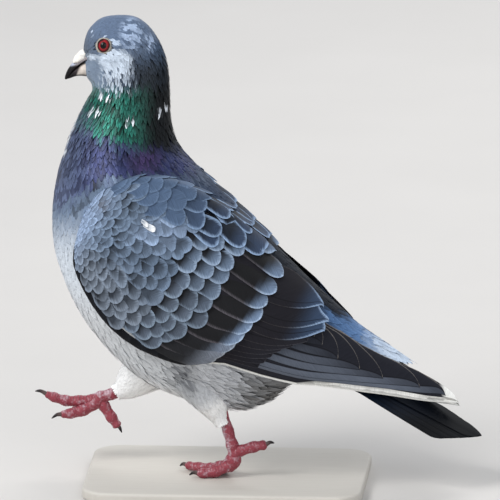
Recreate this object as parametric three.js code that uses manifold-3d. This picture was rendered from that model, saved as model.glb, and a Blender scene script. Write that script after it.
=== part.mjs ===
// A rock pigeon, life size, standing on its left foot with the right foot lifted, on a plain flat base.
// Millimetres. +Z is up, the bill points to -Y and the bird's left side is +X.
import * as THREE from 'three';
import Module from 'manifold-3d';
import { mergeVertices } from 'three/addons/utils/BufferGeometryUtils.js';

const wasm = await Module();
wasm.setup();

// ---------------------------------------------------------------- driving sizes

const GAP = 0.3;                 // clearance between neighbouring sub-parts
const BASE_HEIGHT = 6;
const BASE_WIDTH = 112;
const BASE_LENGTH = 150;
const BASE_CORNER = 16;
const BASE_MIDDLE_Y = 12;        // the base sits under the foot and the middle of the body
const SOLE_Z = BASE_HEIGHT + GAP;

const BODY_RING = 22;            // facets around head, neck and trunk
const BODY_SPACING = 0.28;       // distance between its rings, as a share of the half width
const BODY_SPACING_LEAST = 5.5;
const BODY_PINCH = 0.14;         // how much narrower the form is towards the crown and back

// Head, neck and trunk are one smooth form. Each station is a cross-section that fans about the throat:
// throat or belly point (y, z), crown or back point (y, z), half width.
const BODY = [
  [-63.6, 223.5, -65.2, 234.5, 4.0],    // face behind the bill
  [-62.8, 220.8, -64.0, 242.4, 7.0],
  [-61.9, 219.6, -60.9, 248.8, 9.4],    // forehead
  [-60.7, 217.8, -53.6, 254.2, 11.2],   // crown over the eye
  [-60.2, 214.8, -39.7, 255.1, 12.6],
  [-61.1, 212.3, -31.1, 250.7, 13.2],   // hind head
  [-63.0, 209.5, -24.2, 241.4, 14.0],
  [-65.7, 204.3, -19.9, 229.6, 16.0],
  [-68.9, 198.2, -18.5, 214.9, 18.6],   // neck
  [-72.7, 189.9, -18.0, 199.5, 22.8],
  [-75.6, 179.9, -14.6, 186.4, 29.0],
  [-78.9, 168.9, -6.4, 175.6, 35.5],    // foot of the neck
  [-81.8, 147.0, 6.2, 162.2, 42.5],     // shoulders
  [-78.8, 120.6, 19.2, 149.0, 44.5],    // breast
  [-62.2, 85.7, 35.4, 133.2, 42.0],
  [-30.6, 55.0, 51.6, 116.8, 37.0],     // belly
  [10.0, 42.2, 65.6, 103.6, 30.0],
  [31.0, 45.2, 74.6, 95.4, 25.0],       // vent and rump
  [50.0, 60.0, 83.0, 87.8, 19.5],
  [74.0, 57.0, 100.0, 71.0, 15.0],
];

// A folded wing is a shell on the flank. Each station runs from its upper edge to its lower edge:
// upper edge (x, y, z), lower edge (x, y, z), how far its middle stands out from the midline, thickness.
const WING = [
  [32, -61.5, 156.5, 34, -66.0, 142.0, 36, 9],    // wrist
  [36, -52.0, 167.0, 37, -67.5, 127.0, 42.0, 11],
  [37, -32.4, 174.4, 40, -59.9, 109.5, 46.0, 12],
  [28, -10.4, 169.6, 42, -46.3, 92.3, 47.6, 12],
  [18, 8.6, 156.8, 42, -28.4, 80.4, 48.0, 12],
  [13, 28.2, 139.6, 41, -9.1, 74.1, 47.4, 12],
  [11, 45.2, 123.0, 40, 10.2, 75.5, 45.8, 11],
  [12, 58.4, 111.4, 38, 31.4, 68.6, 42.6, 10],
  [15, 67.8, 100.0, 34, 53.6, 62.3, 37.6, 8],
  [16.5, 80.2, 87.4, 27, 77.2, 58.1, 30.0, 5],
  [12, 97.4, 76.6, 19.5, 99.6, 53.9, 21.5, 4],
  [6.5, 115.8, 66.5, 12.5, 118.9, 49.9, 13.6, 3],
  [4.0, 130.0, 56.0, 8.0, 131.5, 48.6, 8.2, 2.2],
  [5.0, 135.6, 50.4, 6.2, 136.4, 47.6, 6.0, 1.2],   // tip of the outer quills
];
const WING_ARC = 6;              // facets from the upper edge to the lower edge
const WING_SPACING = 12;

const TAIL = {
  rootY: 64, rootZ: 73.6,        // middle of the quills' roots
  tipY: 149.0, tipZ: 27.4,       // end of the middle pair
  rootHalf: 14, tipHalf: 26.5,   // half width where it leaves the rump and at its end
  edgeDrop: 2.6,                 // how far the outer quills lie under the middle pair
  edgeShort: 21.0,               // how much sooner the outer quills end
  thickness: 2.6,
};

// The bill points forward and down. Stations along it: y, z of the middle, half width, half height.
const BILL_UPPER = [
  [-58.0, 236.2, 3.3, 2.6],
  [-63.5, 233.4, 3.0, 2.9],
  [-68.2, 230.0, 2.6, 2.3],
  [-71.4, 226.9, 2.3, 1.9],
  [-73.8, 223.6, 1.8, 1.8],
  [-75.2, 220.0, 0.9, 0.8],
];
const BILL_LOWER = [
  [-58.0, 232.0, 3.2, 2.2],
  [-62.0, 229.2, 2.9, 3.0],
  [-66.5, 225.3, 2.4, 2.5],
  [-70.0, 222.5, 1.9, 1.5],
  [-73.1, 220.6, 1.1, 0.7],
];
const CERE = { y: -66.6, z: 233.4, x: 1.7, long: 4.0, wide: 2.3, high: 2.5, tilt: 42 };

const EYE = { x: 7.4, y: -52.6, z: 239.9, radius: 4.9 };

// Cuts that part the body: a point (y, z) on the cut and its slope in degrees from the horizontal.
const HEAD_CUT = { y: -40, z: 218.5, slope: 8 };
const NECK_CUT = { y: -42, z: 179.0, slope: 6 };
const RUMP_CUT = { y: 46, z: 75.0, slope: 49 };

// Cuts that part a wing: along the tips of the large coverts, and where the long quills pass the short ones.
const COVERT_CUT = { y: 24, z: 101.0, slope: 60 };
const QUILL_CUT = { y: 40, z: 82.0, slope: 24 };
const SHOULDER_CUT = { y: 8, z: 138.0, slope: -12 };

// Legs. Each line of points (x, y, z) is the middle of a limb; a toe's last point is its claw's point.
// The bird stands on its left foot, toes flat and heel lifted, and carries the right foot forward.
const LIMB_SIDES = 7;
const CLAW_SIDES = 6;
const LIMB_SPACING = 5;
const SHANK_RADII = [2.5, 3.0, 3.5, 3.0];
const TOE_RADII = [2.6, 2.6, 2.0];
const CLAW_RADII = [1.2, 0.9, 0.4];
const CLAW_ARCH = 1.2;           // how far a claw's middle stands over the line to its point
const LEFT_LEG = {
  thigh: [[15, -6, 66], [14.8, 2.4, 51.5], [14, 7.4, 41.5], [14, 9.8, 36.5]],
  thighRadii: [15, 10.6, 6.2, 4.2],
  shank: [[14, 9, 47], [14, 14.2, 28.5], [14, 17.6, 18], [14, 17.4, 14]],
  toes: {
    inner: [[12.4, 15, 13.2], [5.2, 10.8, 9.4], [-3.6, 6.6, 8.6], [-7.8, 4.6, 7.4]],
    middle: [[13.4, 14.4, 13], [8.2, 3.6, 9.2], [-0.4, -10.6, 8.7], [-2.6, -14.6, 7.5]],
    outer: [[15.2, 14.4, 12.8], [16.6, 6, 9.3], [17.6, -3.4, 8.6], [18.2, -8.2, 7.4]],
    hind: [[14.6, 19.6, 20.4], [15.5, 27.6, 23.3], [16.2, 34.6, 24.7], [16.9, 39.4, 26]],
  },
};
const RIGHT_LEG = {
  thigh: [[-17, -22, 66], [-17.2, -33.4, 56.6], [-18, -43.6, 47.4], [-18, -47.6, 44.8]],
  thighRadii: [14, 12.8, 7.8, 4.8],
  shank: [[-18, -37, 49], [-18, -50, 43.6], [-18, -58.6, 40.6], [-18, -61, 39.4]],
  toes: {
    inner: [[-16.4, -60, 37.2], [-13, -69, 34.1], [-8.6, -78.4, 33.4], [-6.8, -84.4, 31]],
    middle: [[-18, -62.6, 39.4], [-16.3, -75, 39.2], [-14.4, -87.2, 43.4], [-13.8, -94, 45.2]],
    outer: [[-19.8, -60.4, 37], [-23.8, -67.6, 32.2], [-26.6, -74.6, 31], [-27.8, -80.2, 29]],
    hind: [[-18, -56.6, 37.2], [-17.1, -51.8, 30.6], [-16.4, -47.8, 25], [-15.9, -45.6, 21.4]],
  },
};

// ---------------------------------------------------------------- finishes

const FINISH = {
  head: ['#70839c', 0.75],
  neck: ['#2f5f5a', 0.45],
  trunk: ['#8792a6', 0.85],
  rump: ['#a9bcd6', 0.85],
  tail: ['#1d222e', 0.7],
  coverts: ['#66788f', 0.8],
  scapulars: ['#4d5a6c', 0.8],
  secondaries: ['#3a3c44', 0.75],
  primaries: ['#2a2a30', 0.7],
  thigh: ['#cfd3d8', 0.9],
  skin: ['#b1525c', 0.55],
  claw: ['#3a3230', 0.4],
  bill: ['#332e2e', 0.35],
  cere: ['#d9d4cc', 0.6],
  eye: ['#b3402c', 0.15],
  base: ['#c9c5bd', 0.7],
};

const finishes = {};
for (const [name, [color, roughness]] of Object.entries(FINISH)) {
  finishes[name] = new THREE.MeshStandardMaterial({ name, color, roughness, metalness: 0 });
}

// ---------------------------------------------------------------- solids from rings

/** A closed solid through rings of points, all with the same count, with a fan at each end. */
function ringSolid(rings) {
  const count = rings[0].length;
  const points = rings.flat();
  const faces = [];
  for (let i = 0; i < rings.length - 1; i += 1) {
    for (let j = 0; j < count; j += 1) {
      const a = i * count + j;
      const b = i * count + (j + 1) % count;
      faces.push(a, b, b + count, a, b + count, a + count);
    }
  }
  const ends = [[rings[0], 0, true], [rings.at(-1), (rings.length - 1) * count, false]];
  for (const [ring, first, flip] of ends) {
    const middle = ring.reduce((sum, p) => sum.add(p), new THREE.Vector3()).divideScalar(count);
    const pole = points.push(middle) - 1;
    for (let j = 0; j < count; j += 1) {
      const a = first + j;
      const b = first + (j + 1) % count;
      faces.push(pole, flip ? b : a, flip ? a : b);
    }
  }
  return solidOf(points, faces);
}

/** A manifold solid from points and triangle corners, turned outwards. */
function solidOf(points, faces) {
  const vertProperties = new Float32Array(points.flatMap((p) => [p.x, p.y, p.z]));
  let volume = 0;
  for (let i = 0; i < faces.length; i += 3) {
    const [a, b, c] = [points[faces[i]], points[faces[i + 1]], points[faces[i + 2]]];
    volume += a.dot(b.clone().cross(c));
  }
  if (volume < 0) {
    faces.reverse();
  }
  return new wasm.Manifold(new wasm.Mesh({ numProp: 3, vertProperties, triVerts: new Uint32Array(faces) }));
}

/** A manifold solid from a THREE geometry. */
function solidFrom(geometry) {
  geometry.deleteAttribute('normal');
  geometry.deleteAttribute('uv');
  const merged = mergeVertices(geometry, 1e-4);
  return new wasm.Manifold(new wasm.Mesh({
    numProp: 3,
    vertProperties: new Float32Array(merged.attributes.position.array),
    triVerts: new Uint32Array(merged.index.array),
  }));
}

/** The Catmull-Rom blend from a (t = 0) to b (t = 1), with the values before and after them. */
function blend(before, a, b, after, t) {
  const slope = (b - before) / 2;
  const bend = before - 2.5 * a + 2 * b - after / 2;
  const twist = (3 * (a - b) + after - before) / 2;
  return a + t * (slope + t * (bend + t * twist));
}

/** Rows of numbers blended smoothly, in steps of about one spacing, measured by two columns of the rows. */
function blendRows(rows, [first, second], spacing) {
  const out = [];
  for (let i = 0; i < rows.length - 1; i += 1) {
    const a = rows[i];
    const b = rows[i + 1];
    const before = rows[Math.max(i - 1, 0)];
    const after = rows[Math.min(i + 2, rows.length - 1)];
    const apart = Math.hypot(b[first] - a[first], b[second] - a[second]);
    const steps = Math.max(1, Math.round(apart / spacing(a)));
    for (let s = 0; s < steps; s += 1) {
      out.push(a.map((_, k) => blend(before[k], a[k], b[k], after[k], s / steps)));
    }
  }
  out.push(rows.at(-1));
  return out;
}

// ---------------------------------------------------------------- head, neck and trunk

/** One ring of the body: an oval from the belly point to the back point, pinched towards the back. */
function bodyRing([frontY, frontZ, backY, backZ, half], grow) {
  const middle = new THREE.Vector3(0, (frontY + backY) / 2, (frontZ + backZ) / 2);
  const reach = new THREE.Vector3(0, (backY - frontY) / 2, (backZ - frontZ) / 2);
  const long = reach.length() + grow;
  reach.normalize();
  const ring = [];
  for (let j = 0; j < BODY_RING; j += 1) {
    const angle = 2 * Math.PI * j / BODY_RING;
    const side = Math.sin(angle) * (1 - BODY_PINCH * Math.max(Math.cos(angle), 0));
    const point = middle.clone().addScaledVector(reach, Math.cos(angle) * long);
    ring.push(point.setX(side * (half + grow)));
  }
  return ring;
}

function bodyForm(grow = 0) {
  const ringSpacing = (row) => Math.max(BODY_SPACING_LEAST, BODY_SPACING * row[4]);
  return ringSolid(blendRows(BODY, [2, 3], ringSpacing).map((row) => bodyRing(row, grow)));
}

// ---------------------------------------------------------------- wings

/** One ring of a wing: the outer arc from the upper to the lower edge, then the inner arc back. */
function wingRing([topX, topY, topZ, lowX, lowY, lowZ, stand, thick], side) {
  const bulge = stand - (topX + lowX) / 2;
  const root = new THREE.Vector3(0, (topY + lowY) / 2, (topZ + lowZ) / 2);
  const outer = [];
  for (let j = 0; j <= WING_ARC; j += 1) {
    const t = j / WING_ARC;
    const x = topX + (lowX - topX) * t + bulge * (4 * t * (1 - t)) ** 0.66;
    outer.push(new THREE.Vector3(x, topY + (lowY - topY) * t, topZ + (lowZ - topZ) * t));
  }
  const inner = outer.map((p) => {
    const inward = root.clone().sub(p);
    return p.clone().addScaledVector(inward.normalize(), thick);
  });
  const ring = [...outer, ...inner.reverse()];
  ring.forEach((p) => p.setX(p.x * side));
  return ring;
}

function wingForm(side) {
  return ringSolid(blendRows(WING, [4, 5], () => WING_SPACING).map((row) => wingRing(row, side)));
}

// ---------------------------------------------------------------- tail

/** A solid between two sheets: place(u, v) is a point of the upper one, thickness is its depth downwards. */
function sheetSolid(place, thickness, stepsU, stepsV, down) {
  const top = [];
  const low = [];
  for (let i = 0; i <= stepsU; i += 1) {
    for (let j = 0; j <= stepsV; j += 1) {
      const [u, v] = [i / stepsU, 2 * j / stepsV - 1];
      const p = place(u, v);
      top.push(p);
      low.push(p.clone().addScaledVector(down, thickness));
    }
  }
  const row = stepsV + 1;
  const lower = top.length;
  const faces = [];
  for (let i = 0; i < stepsU; i += 1) {
    for (let j = 0; j < stepsV; j += 1) {
      const a = i * row + j;
      const [b, c, d] = [a + 1, a + row + 1, a + row];
      faces.push(a, b, c, a, c, d);
      faces.push(lower + a, lower + c, lower + b, lower + a, lower + d, lower + c);
    }
  }
  const rim = [];
  for (let j = 0; j < stepsV; j += 1) {
    rim.push(j);
  }
  for (let i = 0; i < stepsU; i += 1) {
    rim.push(i * row + stepsV);
  }
  for (let j = stepsV; j > 0; j -= 1) {
    rim.push(stepsU * row + j);
  }
  for (let i = stepsU; i > 0; i -= 1) {
    rim.push(i * row);
  }
  rim.forEach((a, k) => {
    const b = rim[(k + 1) % rim.length];
    faces.push(b, a, lower + a, b, lower + a, lower + b);
  });
  return solidOf([...top, ...low], faces);
}

function tailForm(grow = 0) {
  const along = new THREE.Vector3(0, TAIL.tipY - TAIL.rootY, TAIL.tipZ - TAIL.rootZ);
  const length = along.length();
  along.normalize();
  const down = new THREE.Vector3(0, along.z, -along.y);
  const place = (u, v) => {
    const half = TAIL.rootHalf + (TAIL.tipHalf - TAIL.rootHalf) * u + grow;
    const reach = u * (length - TAIL.edgeShort * v * v) + grow * (2 * u - 1);
    return new THREE.Vector3(half * v, TAIL.rootY, TAIL.rootZ)
      .addScaledVector(along, reach)
      .addScaledVector(down, TAIL.edgeDrop * Math.abs(v) ** 1.6 - grow);
  };
  return sheetSolid(place, TAIL.thickness + 2 * grow, 4, 10, down);
}

// ---------------------------------------------------------------- bill, cere and eyes

/** A bill half: ovals along the row of stations, each square to the bill's line. */
function billForm(rows, grow = 0) {
  const rings = rows.map(([y, z, wide, high], i) => {
    const [before, after] = [rows[Math.max(i - 1, 0)], rows[Math.min(i + 1, rows.length - 1)]];
    const line = new THREE.Vector3(0, after[0] - before[0], after[1] - before[1]).normalize();
    const up = new THREE.Vector3(0, line.z, -line.y);
    const end = i === rows.length - 1 ? grow : 0;
    return Array.from({ length: 12 }, (_, j) => {
      const angle = 2 * Math.PI * j / 12;
      return new THREE.Vector3(Math.cos(angle) * (wide + grow), y, z)
        .addScaledVector(up, Math.sin(angle) * (high + grow))
        .addScaledVector(line, end);
    });
  });
  return ringSolid(rings);
}

/** The two soft swellings over the nostrils, joined over the bill. */
function cereForm(grow = 0) {
  const lobes = [-1, 1].map((side) => {
    const lobe = new THREE.SphereGeometry(1, 10, 6);
    lobe.scale(CERE.wide + grow, CERE.long + grow, CERE.high + grow);
    lobe.rotateX(THREE.MathUtils.degToRad(CERE.tilt));
    lobe.translate(side * CERE.x, CERE.y, CERE.z);
    return solidFrom(lobe);
  });
  return lobes[0].add(lobes[1]);
}

function eyeForm(side, grow = 0) {
  const ball = new THREE.SphereGeometry(EYE.radius + grow, 12, 8);
  ball.rotateZ(Math.PI / 2);
  ball.translate(side * EYE.x, EYE.y, EYE.z);
  return solidFrom(ball);
}

// ---------------------------------------------------------------- legs

/** A limb along a smooth line of points, its radius blended from one point to the next. */
function limbForm(points, radii, grow = 0, sides = LIMB_SIDES) {
  const curve = new THREE.CatmullRomCurve3(points.map((p) => new THREE.Vector3(...p)), false, 'centripetal');
  const steps = Math.max(points.length, Math.round(curve.getLength() / LIMB_SPACING));
  const rings = [];
  for (let i = 0; i <= steps; i += 1) {
    const t = i / steps;
    const line = curve.getTangent(t);
    const side = new THREE.Vector3(1, 0, 0).addScaledVector(line, -line.x).normalize();
    const up = line.clone().cross(side);
    const place = t * (radii.length - 1);
    const before = Math.min(Math.floor(place), radii.length - 2);
    const radius = THREE.MathUtils.lerp(radii[before], radii[before + 1], place - before) + grow;
    const middle = curve.getPoint(t).addScaledVector(line, grow * (2 * t - 1));
    rings.push(Array.from({ length: sides }, (_, j) => {
      const angle = 2 * Math.PI * (j + 0.5) / sides;
      return middle.clone()
        .addScaledVector(side, Math.cos(angle) * radius)
        .addScaledVector(up, Math.sin(angle) * radius);
    }));
  }
  return ringSolid(rings);
}

function toeForm(toe, grow = 0) {
  return limbForm(toe.slice(0, 3), TOE_RADII, grow);
}

/** A claw: from just inside the toe's end, over a small arch, to its point. */
function clawForm(toe, grow = 0) {
  const [, joint, end, point] = toe.map((p) => new THREE.Vector3(...p));
  const root = end.clone().addScaledVector(end.clone().sub(joint).normalize(), -1);
  const middle = end.clone().lerp(point, 0.5).add(new THREE.Vector3(0, 0, CLAW_ARCH));
  return limbForm([root, middle, point].map((p) => p.toArray()), CLAW_RADII, grow, CLAW_SIDES);
}

// ---------------------------------------------------------------- parting

/** The half of space on one side (+1 upper, -1 lower) of a cut, half the gap away from it. */
function beyond(cut, side) {
  const size = 600;
  const box = new THREE.BoxGeometry(size, size, size);
  box.translate(0, 0, side * (size / 2 + GAP / 2));
  box.rotateX(THREE.MathUtils.degToRad(cut.slope));
  box.translate(0, cut.y, cut.z);
  return solidFrom(box);
}

function cutTo(solid, ...cuts) {
  return cuts.reduce((rest, [cut, side]) => rest.intersect(beyond(cut, side)), solid);
}

const parts = new THREE.Group();

function addMesh(name, finish, solid) {
  const mesh = solid.getMesh();
  const geometry = new THREE.BufferGeometry();
  geometry.setAttribute('position', new THREE.BufferAttribute(new Float32Array(mesh.vertProperties), 3));
  geometry.setIndex(new THREE.BufferAttribute(new Uint32Array(mesh.triVerts), 1));
  geometry.computeVertexNormals();
  const piece = new THREE.Mesh(geometry, finishes[finish]);
  piece.name = name;
  parts.add(piece);
}

// ---------------------------------------------------------------- the bird

const body = bodyForm();
const bodyWithGap = bodyForm(GAP);

const sockets = eyeForm(1, GAP).add(eyeForm(-1, GAP));
const billWithGap = billForm(BILL_UPPER, GAP).add(billForm(BILL_LOWER, GAP)).add(cereForm(GAP));
const head = cutTo(body, [HEAD_CUT, 1]).subtract(sockets).subtract(billWithGap);
addMesh('head', 'head', head);
addMesh('bill_upper', 'bill', billForm(BILL_UPPER).subtract(cereForm(GAP)));
addMesh('bill_lower', 'bill', billForm(BILL_LOWER).subtract(billForm(BILL_UPPER, GAP)));
addMesh('cere', 'cere', cereForm());
addMesh('eye_left', 'eye', eyeForm(1));
addMesh('eye_right', 'eye', eyeForm(-1));
addMesh('neck', 'neck', cutTo(body, [HEAD_CUT, -1], [NECK_CUT, 1]));

const legs = [['left', LEFT_LEG], ['right', RIGHT_LEG]];
const trunk = cutTo(body, [NECK_CUT, -1], [RUMP_CUT, 1]);
addMesh('trunk', 'trunk', trunk);
const tail = tailForm().subtract(bodyWithGap);
addMesh('rump', 'rump', cutTo(body, [RUMP_CUT, -1]));
addMesh('tail', 'tail', tail);

for (const [name, side] of [['left', 1], ['right', -1]]) {
  const wing = wingForm(side).subtract(bodyWithGap).subtract(tailForm(GAP));
  const fore = cutTo(wing, [COVERT_CUT, 1]);
  const rear = cutTo(wing, [COVERT_CUT, -1]);
  addMesh(`wing_${name}_coverts`, 'coverts', cutTo(fore, [SHOULDER_CUT, -1]));
  addMesh(`wing_${name}_scapulars`, 'scapulars', cutTo(fore, [SHOULDER_CUT, 1]));
  addMesh(`wing_${name}_secondaries`, 'secondaries', cutTo(rear, [QUILL_CUT, 1]));
  addMesh(`wing_${name}_primaries`, 'primaries', cutTo(rear, [QUILL_CUT, -1]));
}

const aboveSole = new THREE.BoxGeometry(600, 600, 600);
aboveSole.translate(0, 0, 300 + SOLE_Z);
const overBase = solidFrom(aboveSole);

legs.forEach(([name, leg]) => {
  let taken = limbForm(leg.shank, SHANK_RADII, GAP);
  const thigh = limbForm(leg.thigh, leg.thighRadii);
  addMesh(`thigh_${name}`, 'thigh', thigh.subtract(bodyWithGap).subtract(taken));
  addMesh(`tarsus_${name}`, 'skin', limbForm(leg.shank, SHANK_RADII).subtract(bodyWithGap));
  for (const [toeName, toe] of Object.entries(leg.toes)) {
    const bare = toeForm(toe).subtract(taken).subtract(clawForm(toe, GAP));
    addMesh(`toe_${name}_${toeName}`, 'skin', bare.intersect(overBase));
    addMesh(`claw_${name}_${toeName}`, 'claw', clawForm(toe).intersect(overBase));
    taken = taken.add(toeForm(toe, GAP));
  }
});

// ---------------------------------------------------------------- base

const outline = new THREE.Shape();
const [halfX, halfY] = [BASE_WIDTH / 2, BASE_LENGTH / 2];
outline.moveTo(halfX, halfY - BASE_CORNER);
outline.absarc(halfX - BASE_CORNER, halfY - BASE_CORNER, BASE_CORNER, 0, Math.PI / 2);
outline.absarc(BASE_CORNER - halfX, halfY - BASE_CORNER, BASE_CORNER, Math.PI / 2, Math.PI);
outline.absarc(BASE_CORNER - halfX, BASE_CORNER - halfY, BASE_CORNER, Math.PI, 1.5 * Math.PI);
outline.absarc(halfX - BASE_CORNER, BASE_CORNER - halfY, BASE_CORNER, 1.5 * Math.PI, 2 * Math.PI);
const settings = { depth: BASE_HEIGHT, bevelEnabled: false, curveSegments: 5 };
const slab = new THREE.ExtrudeGeometry(outline, settings);
slab.translate(0, BASE_MIDDLE_Y, 0);
addMesh('stand_base', 'base', solidFrom(slab));

// The middle of the whole stands over the origin.
const box = new THREE.Box3().setFromObject(parts);
parts.position.y = -(box.min.y + box.max.y) / 2;
parts.updateMatrixWorld(true);

export default parts;
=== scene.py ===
import math
import bpy
import numpy as np
from mathutils import Matrix, Vector, kdtree


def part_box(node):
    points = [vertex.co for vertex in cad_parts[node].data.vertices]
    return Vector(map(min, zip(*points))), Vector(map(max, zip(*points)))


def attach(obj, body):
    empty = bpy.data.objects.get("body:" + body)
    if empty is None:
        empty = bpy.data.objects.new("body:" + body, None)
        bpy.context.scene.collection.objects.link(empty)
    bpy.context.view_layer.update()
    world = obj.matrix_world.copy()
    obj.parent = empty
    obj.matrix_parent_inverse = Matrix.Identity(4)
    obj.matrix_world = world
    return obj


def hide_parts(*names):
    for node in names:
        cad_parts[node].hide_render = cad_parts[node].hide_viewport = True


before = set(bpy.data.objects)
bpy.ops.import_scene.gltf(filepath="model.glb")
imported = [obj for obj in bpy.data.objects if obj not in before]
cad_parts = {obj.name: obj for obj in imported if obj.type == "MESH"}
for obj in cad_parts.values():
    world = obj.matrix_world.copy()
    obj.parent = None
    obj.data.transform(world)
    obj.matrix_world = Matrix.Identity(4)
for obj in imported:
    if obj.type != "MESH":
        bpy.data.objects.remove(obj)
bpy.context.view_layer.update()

# ------------------------------------------------------------------ camera, light and floor
# The bird is seen from its left, a little from behind and from above, as across a courtyard with a long lens.
# It stands on a plain pale floor under a broad soft sky, with the brighter light in front of it.
# Places are millimetres in the bird's own frame: the bill points to -Y, its left is +X, Z is height.
BASE_MIDDLE = 12.0                   # y of the middle of the base
base_low, base_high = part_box("stand_base")
SHIFT = np.array([0.0, (base_low.y + base_high.y) / 2 * 1000 - BASE_MIDDLE, 0.0])
VIEW_RISE = math.radians(13)         # how far the camera looks down
VIEW_TURN = math.radians(4)          # how far it stands round towards the tail
VIEW_WIDTH = 267.5                   # what it sees across, at the bird
VIEW_MIDDLE = (24.1, 124.1)          # to the right of the base's middle and up, as the camera sees it
VIEW_DISTANCE = 9000.0
SENSOR = 36.0
LAMPS = {                            # place, size, and power in watts
    "key": ((900, -1100, 1500), 900, 30),
    "fill": ((1500, 900, 900), 1400, 9),
    "back": ((-1300, 500, 1300), 900, 14),
}
LAMP_AIM = Vector((0, 0, 0.12))      # the middle of the bird, in metres
SKY_COLOUR = "#e7ecf4"
SKY_STRENGTH = 0.62
FLOOR_RADIUS = 30.0                  # in metres
FLOOR_COLOURS = ("#c9c6c2", "#cfccc8")


def in_frame(points):
    """Millimetres of the bird's own frame as metres of the row frame."""
    return (np.asarray(points, float) + SHIFT) / 1000


def linear(colour):
    """An sRGB hex colour as linear red, green and blue."""
    c = np.array([int(colour[i:i + 2], 16) for i in (1, 3, 5)]) / 255
    return np.where(c > 0.04045, ((c + 0.055) / 1.055) ** 2.4, c / 12.92)


def rgba(colour):
    """An sRGB hex colour as the four numbers of a colour socket."""
    return (*linear(colour), 1.0)


def add(tree, kind, inputs=None, **settings):
    """Adds a node with its settings. inputs maps a socket to a value or to the socket that feeds it."""
    made = tree.nodes.new(kind)
    for name, value in settings.items():
        setattr(made, name, value)
    for socket, value in (inputs or {}).items():
        if isinstance(value, bpy.types.NodeSocket):
            tree.links.new(value, made.inputs[socket])
        else:
            made.inputs[socket].default_value = value
    return made


def finish(name, **sockets):
    """A new material with one Principled shader. Returns the material, its nodes and the shader."""
    material = bpy.data.materials.new(name)
    material.use_nodes = True
    tree = material.node_tree
    tree.nodes.clear()
    shader = add(tree, "ShaderNodeBsdfPrincipled", {k.replace("_", " "): v for k, v in sockets.items()})
    add(tree, "ShaderNodeOutputMaterial", {"Surface": shader.outputs[0]})
    return material, tree, shader


def carried(tree, name, output="Color"):
    """What the points of a mesh carry under a name."""
    return add(tree, "ShaderNodeAttribute", attribute_name=name).outputs[output]


def speckled(tree, scale, detail, stretch=None, place=None, **settings):
    """Noise over a place, which is by default that on the piece in metres. It may be stretched."""
    place = place or add(tree, "ShaderNodeTexCoord").outputs["Object"]
    if stretch:
        place = add(tree, "ShaderNodeMapping", {"Vector": place, "Scale": stretch}).outputs[0]
    inputs = {"Vector": place, "Scale": scale, "Detail": detail, **settings}
    return add(tree, "ShaderNodeTexNoise", inputs).outputs[0]


def weighed(tree, value, weight, rest):
    """A value times its weight, plus the rest."""
    return add(tree, "ShaderNodeMath", {0: value, 1: weight, 2: rest}, operation="MULTIPLY_ADD").outputs[0]


def ranged(tree, value, span, low, high, **settings):
    """A value brought from its span to the one from low to high, and kept in it."""
    inputs = {"Value": value, 1: span[0], 2: span[1], 3: low, 4: high}
    return add(tree, "ShaderNodeMapRange", inputs, **settings).outputs[0]


def tinted(tree, share, first, second):
    """A colour between two, by a share."""
    return add(tree, "ShaderNodeMix", {0: share, 6: first, 7: second}, data_type="RGBA").outputs[2]


def dimmed(tree, colour, strength):
    """A colour times a strength."""
    return add(tree, "ShaderNodeVectorMath", {0: colour, 3: strength}, operation="SCALE").outputs[0]


def dress(tree, shader, colour, height=None, strength=0.0, distance=0.0):
    """Gives a shader its colour and, where there is a height, a relief that is `distance` metres deep."""
    tree.links.new(colour, shader.inputs["Base Color"])
    if height:
        relief = add(tree, "ShaderNodeBump", {"Height": height, "Strength": strength, "Distance": distance})
        tree.links.new(relief.outputs[0], shader.inputs["Normal"])


toward = np.array([math.cos(VIEW_TURN) * math.cos(VIEW_RISE), math.sin(VIEW_TURN) * math.cos(VIEW_RISE),
                   math.sin(VIEW_RISE)])
right = np.array([-math.sin(VIEW_TURN), math.cos(VIEW_TURN), 0.0])
up = np.cross(toward, right)
target = right * VIEW_MIDDLE[0] + up * VIEW_MIDDLE[1]
target = target - toward * target[0] / toward[0]
camera = bpy.data.objects.new("camera", bpy.data.cameras.new("camera"))
camera.data.sensor_width = SENSOR
camera.data.lens = SENSOR * VIEW_DISTANCE / VIEW_WIDTH
turn = Matrix(np.stack([right, up, toward], 1).tolist()).to_4x4()
camera.matrix_world = Matrix.Translation(in_frame(target + toward * VIEW_DISTANCE)) @ turn
bpy.context.scene.collection.objects.link(camera)
bpy.context.scene.camera = camera
bpy.context.scene.view_settings.view_transform = "Standard"

for name, (place, size, power) in LAMPS.items():
    lamp = bpy.data.lights.new(name, "AREA")
    lamp.size = size / 1000
    lamp.energy = power
    light = bpy.data.objects.new(name, lamp)
    light.location = in_frame(place)
    light.rotation_mode = "QUATERNION"
    light.rotation_quaternion = (Vector(in_frame(place)) - LAMP_AIM).to_track_quat("Z", "Y")
    bpy.context.scene.collection.objects.link(light)

world = bpy.data.worlds.new("sky")
world.use_nodes = True
world.node_tree.nodes.clear()
sky = add(world.node_tree, "ShaderNodeBackground", {"Color": rgba(SKY_COLOUR), "Strength": SKY_STRENGTH})
add(world.node_tree, "ShaderNodeOutputWorld", {"Surface": sky.outputs[0]})
bpy.context.scene.world = world

# Smooth plaster: matt, with a mottle so faint that it only keeps the floor from looking like paper.
angles = np.linspace(0, 2 * np.pi, 97)[:-1]
rim = np.stack([np.cos(angles), np.sin(angles), angles * 0], 1) * FLOOR_RADIUS
floor_mesh = bpy.data.meshes.new("floor")
floor_mesh.from_pydata(rim.tolist(), [], [list(range(len(rim)))])
floor = bpy.data.objects.new("floor", floor_mesh)
bpy.context.scene.collection.objects.link(floor)
plaster, tree, shader = finish("smooth plaster", Roughness=0.9)
dress(tree, shader, tinted(tree, speckled(tree, 9.0, 3.0), *map(rgba, FLOOR_COLOURS)))
floor_mesh.materials.append(plaster)

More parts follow.
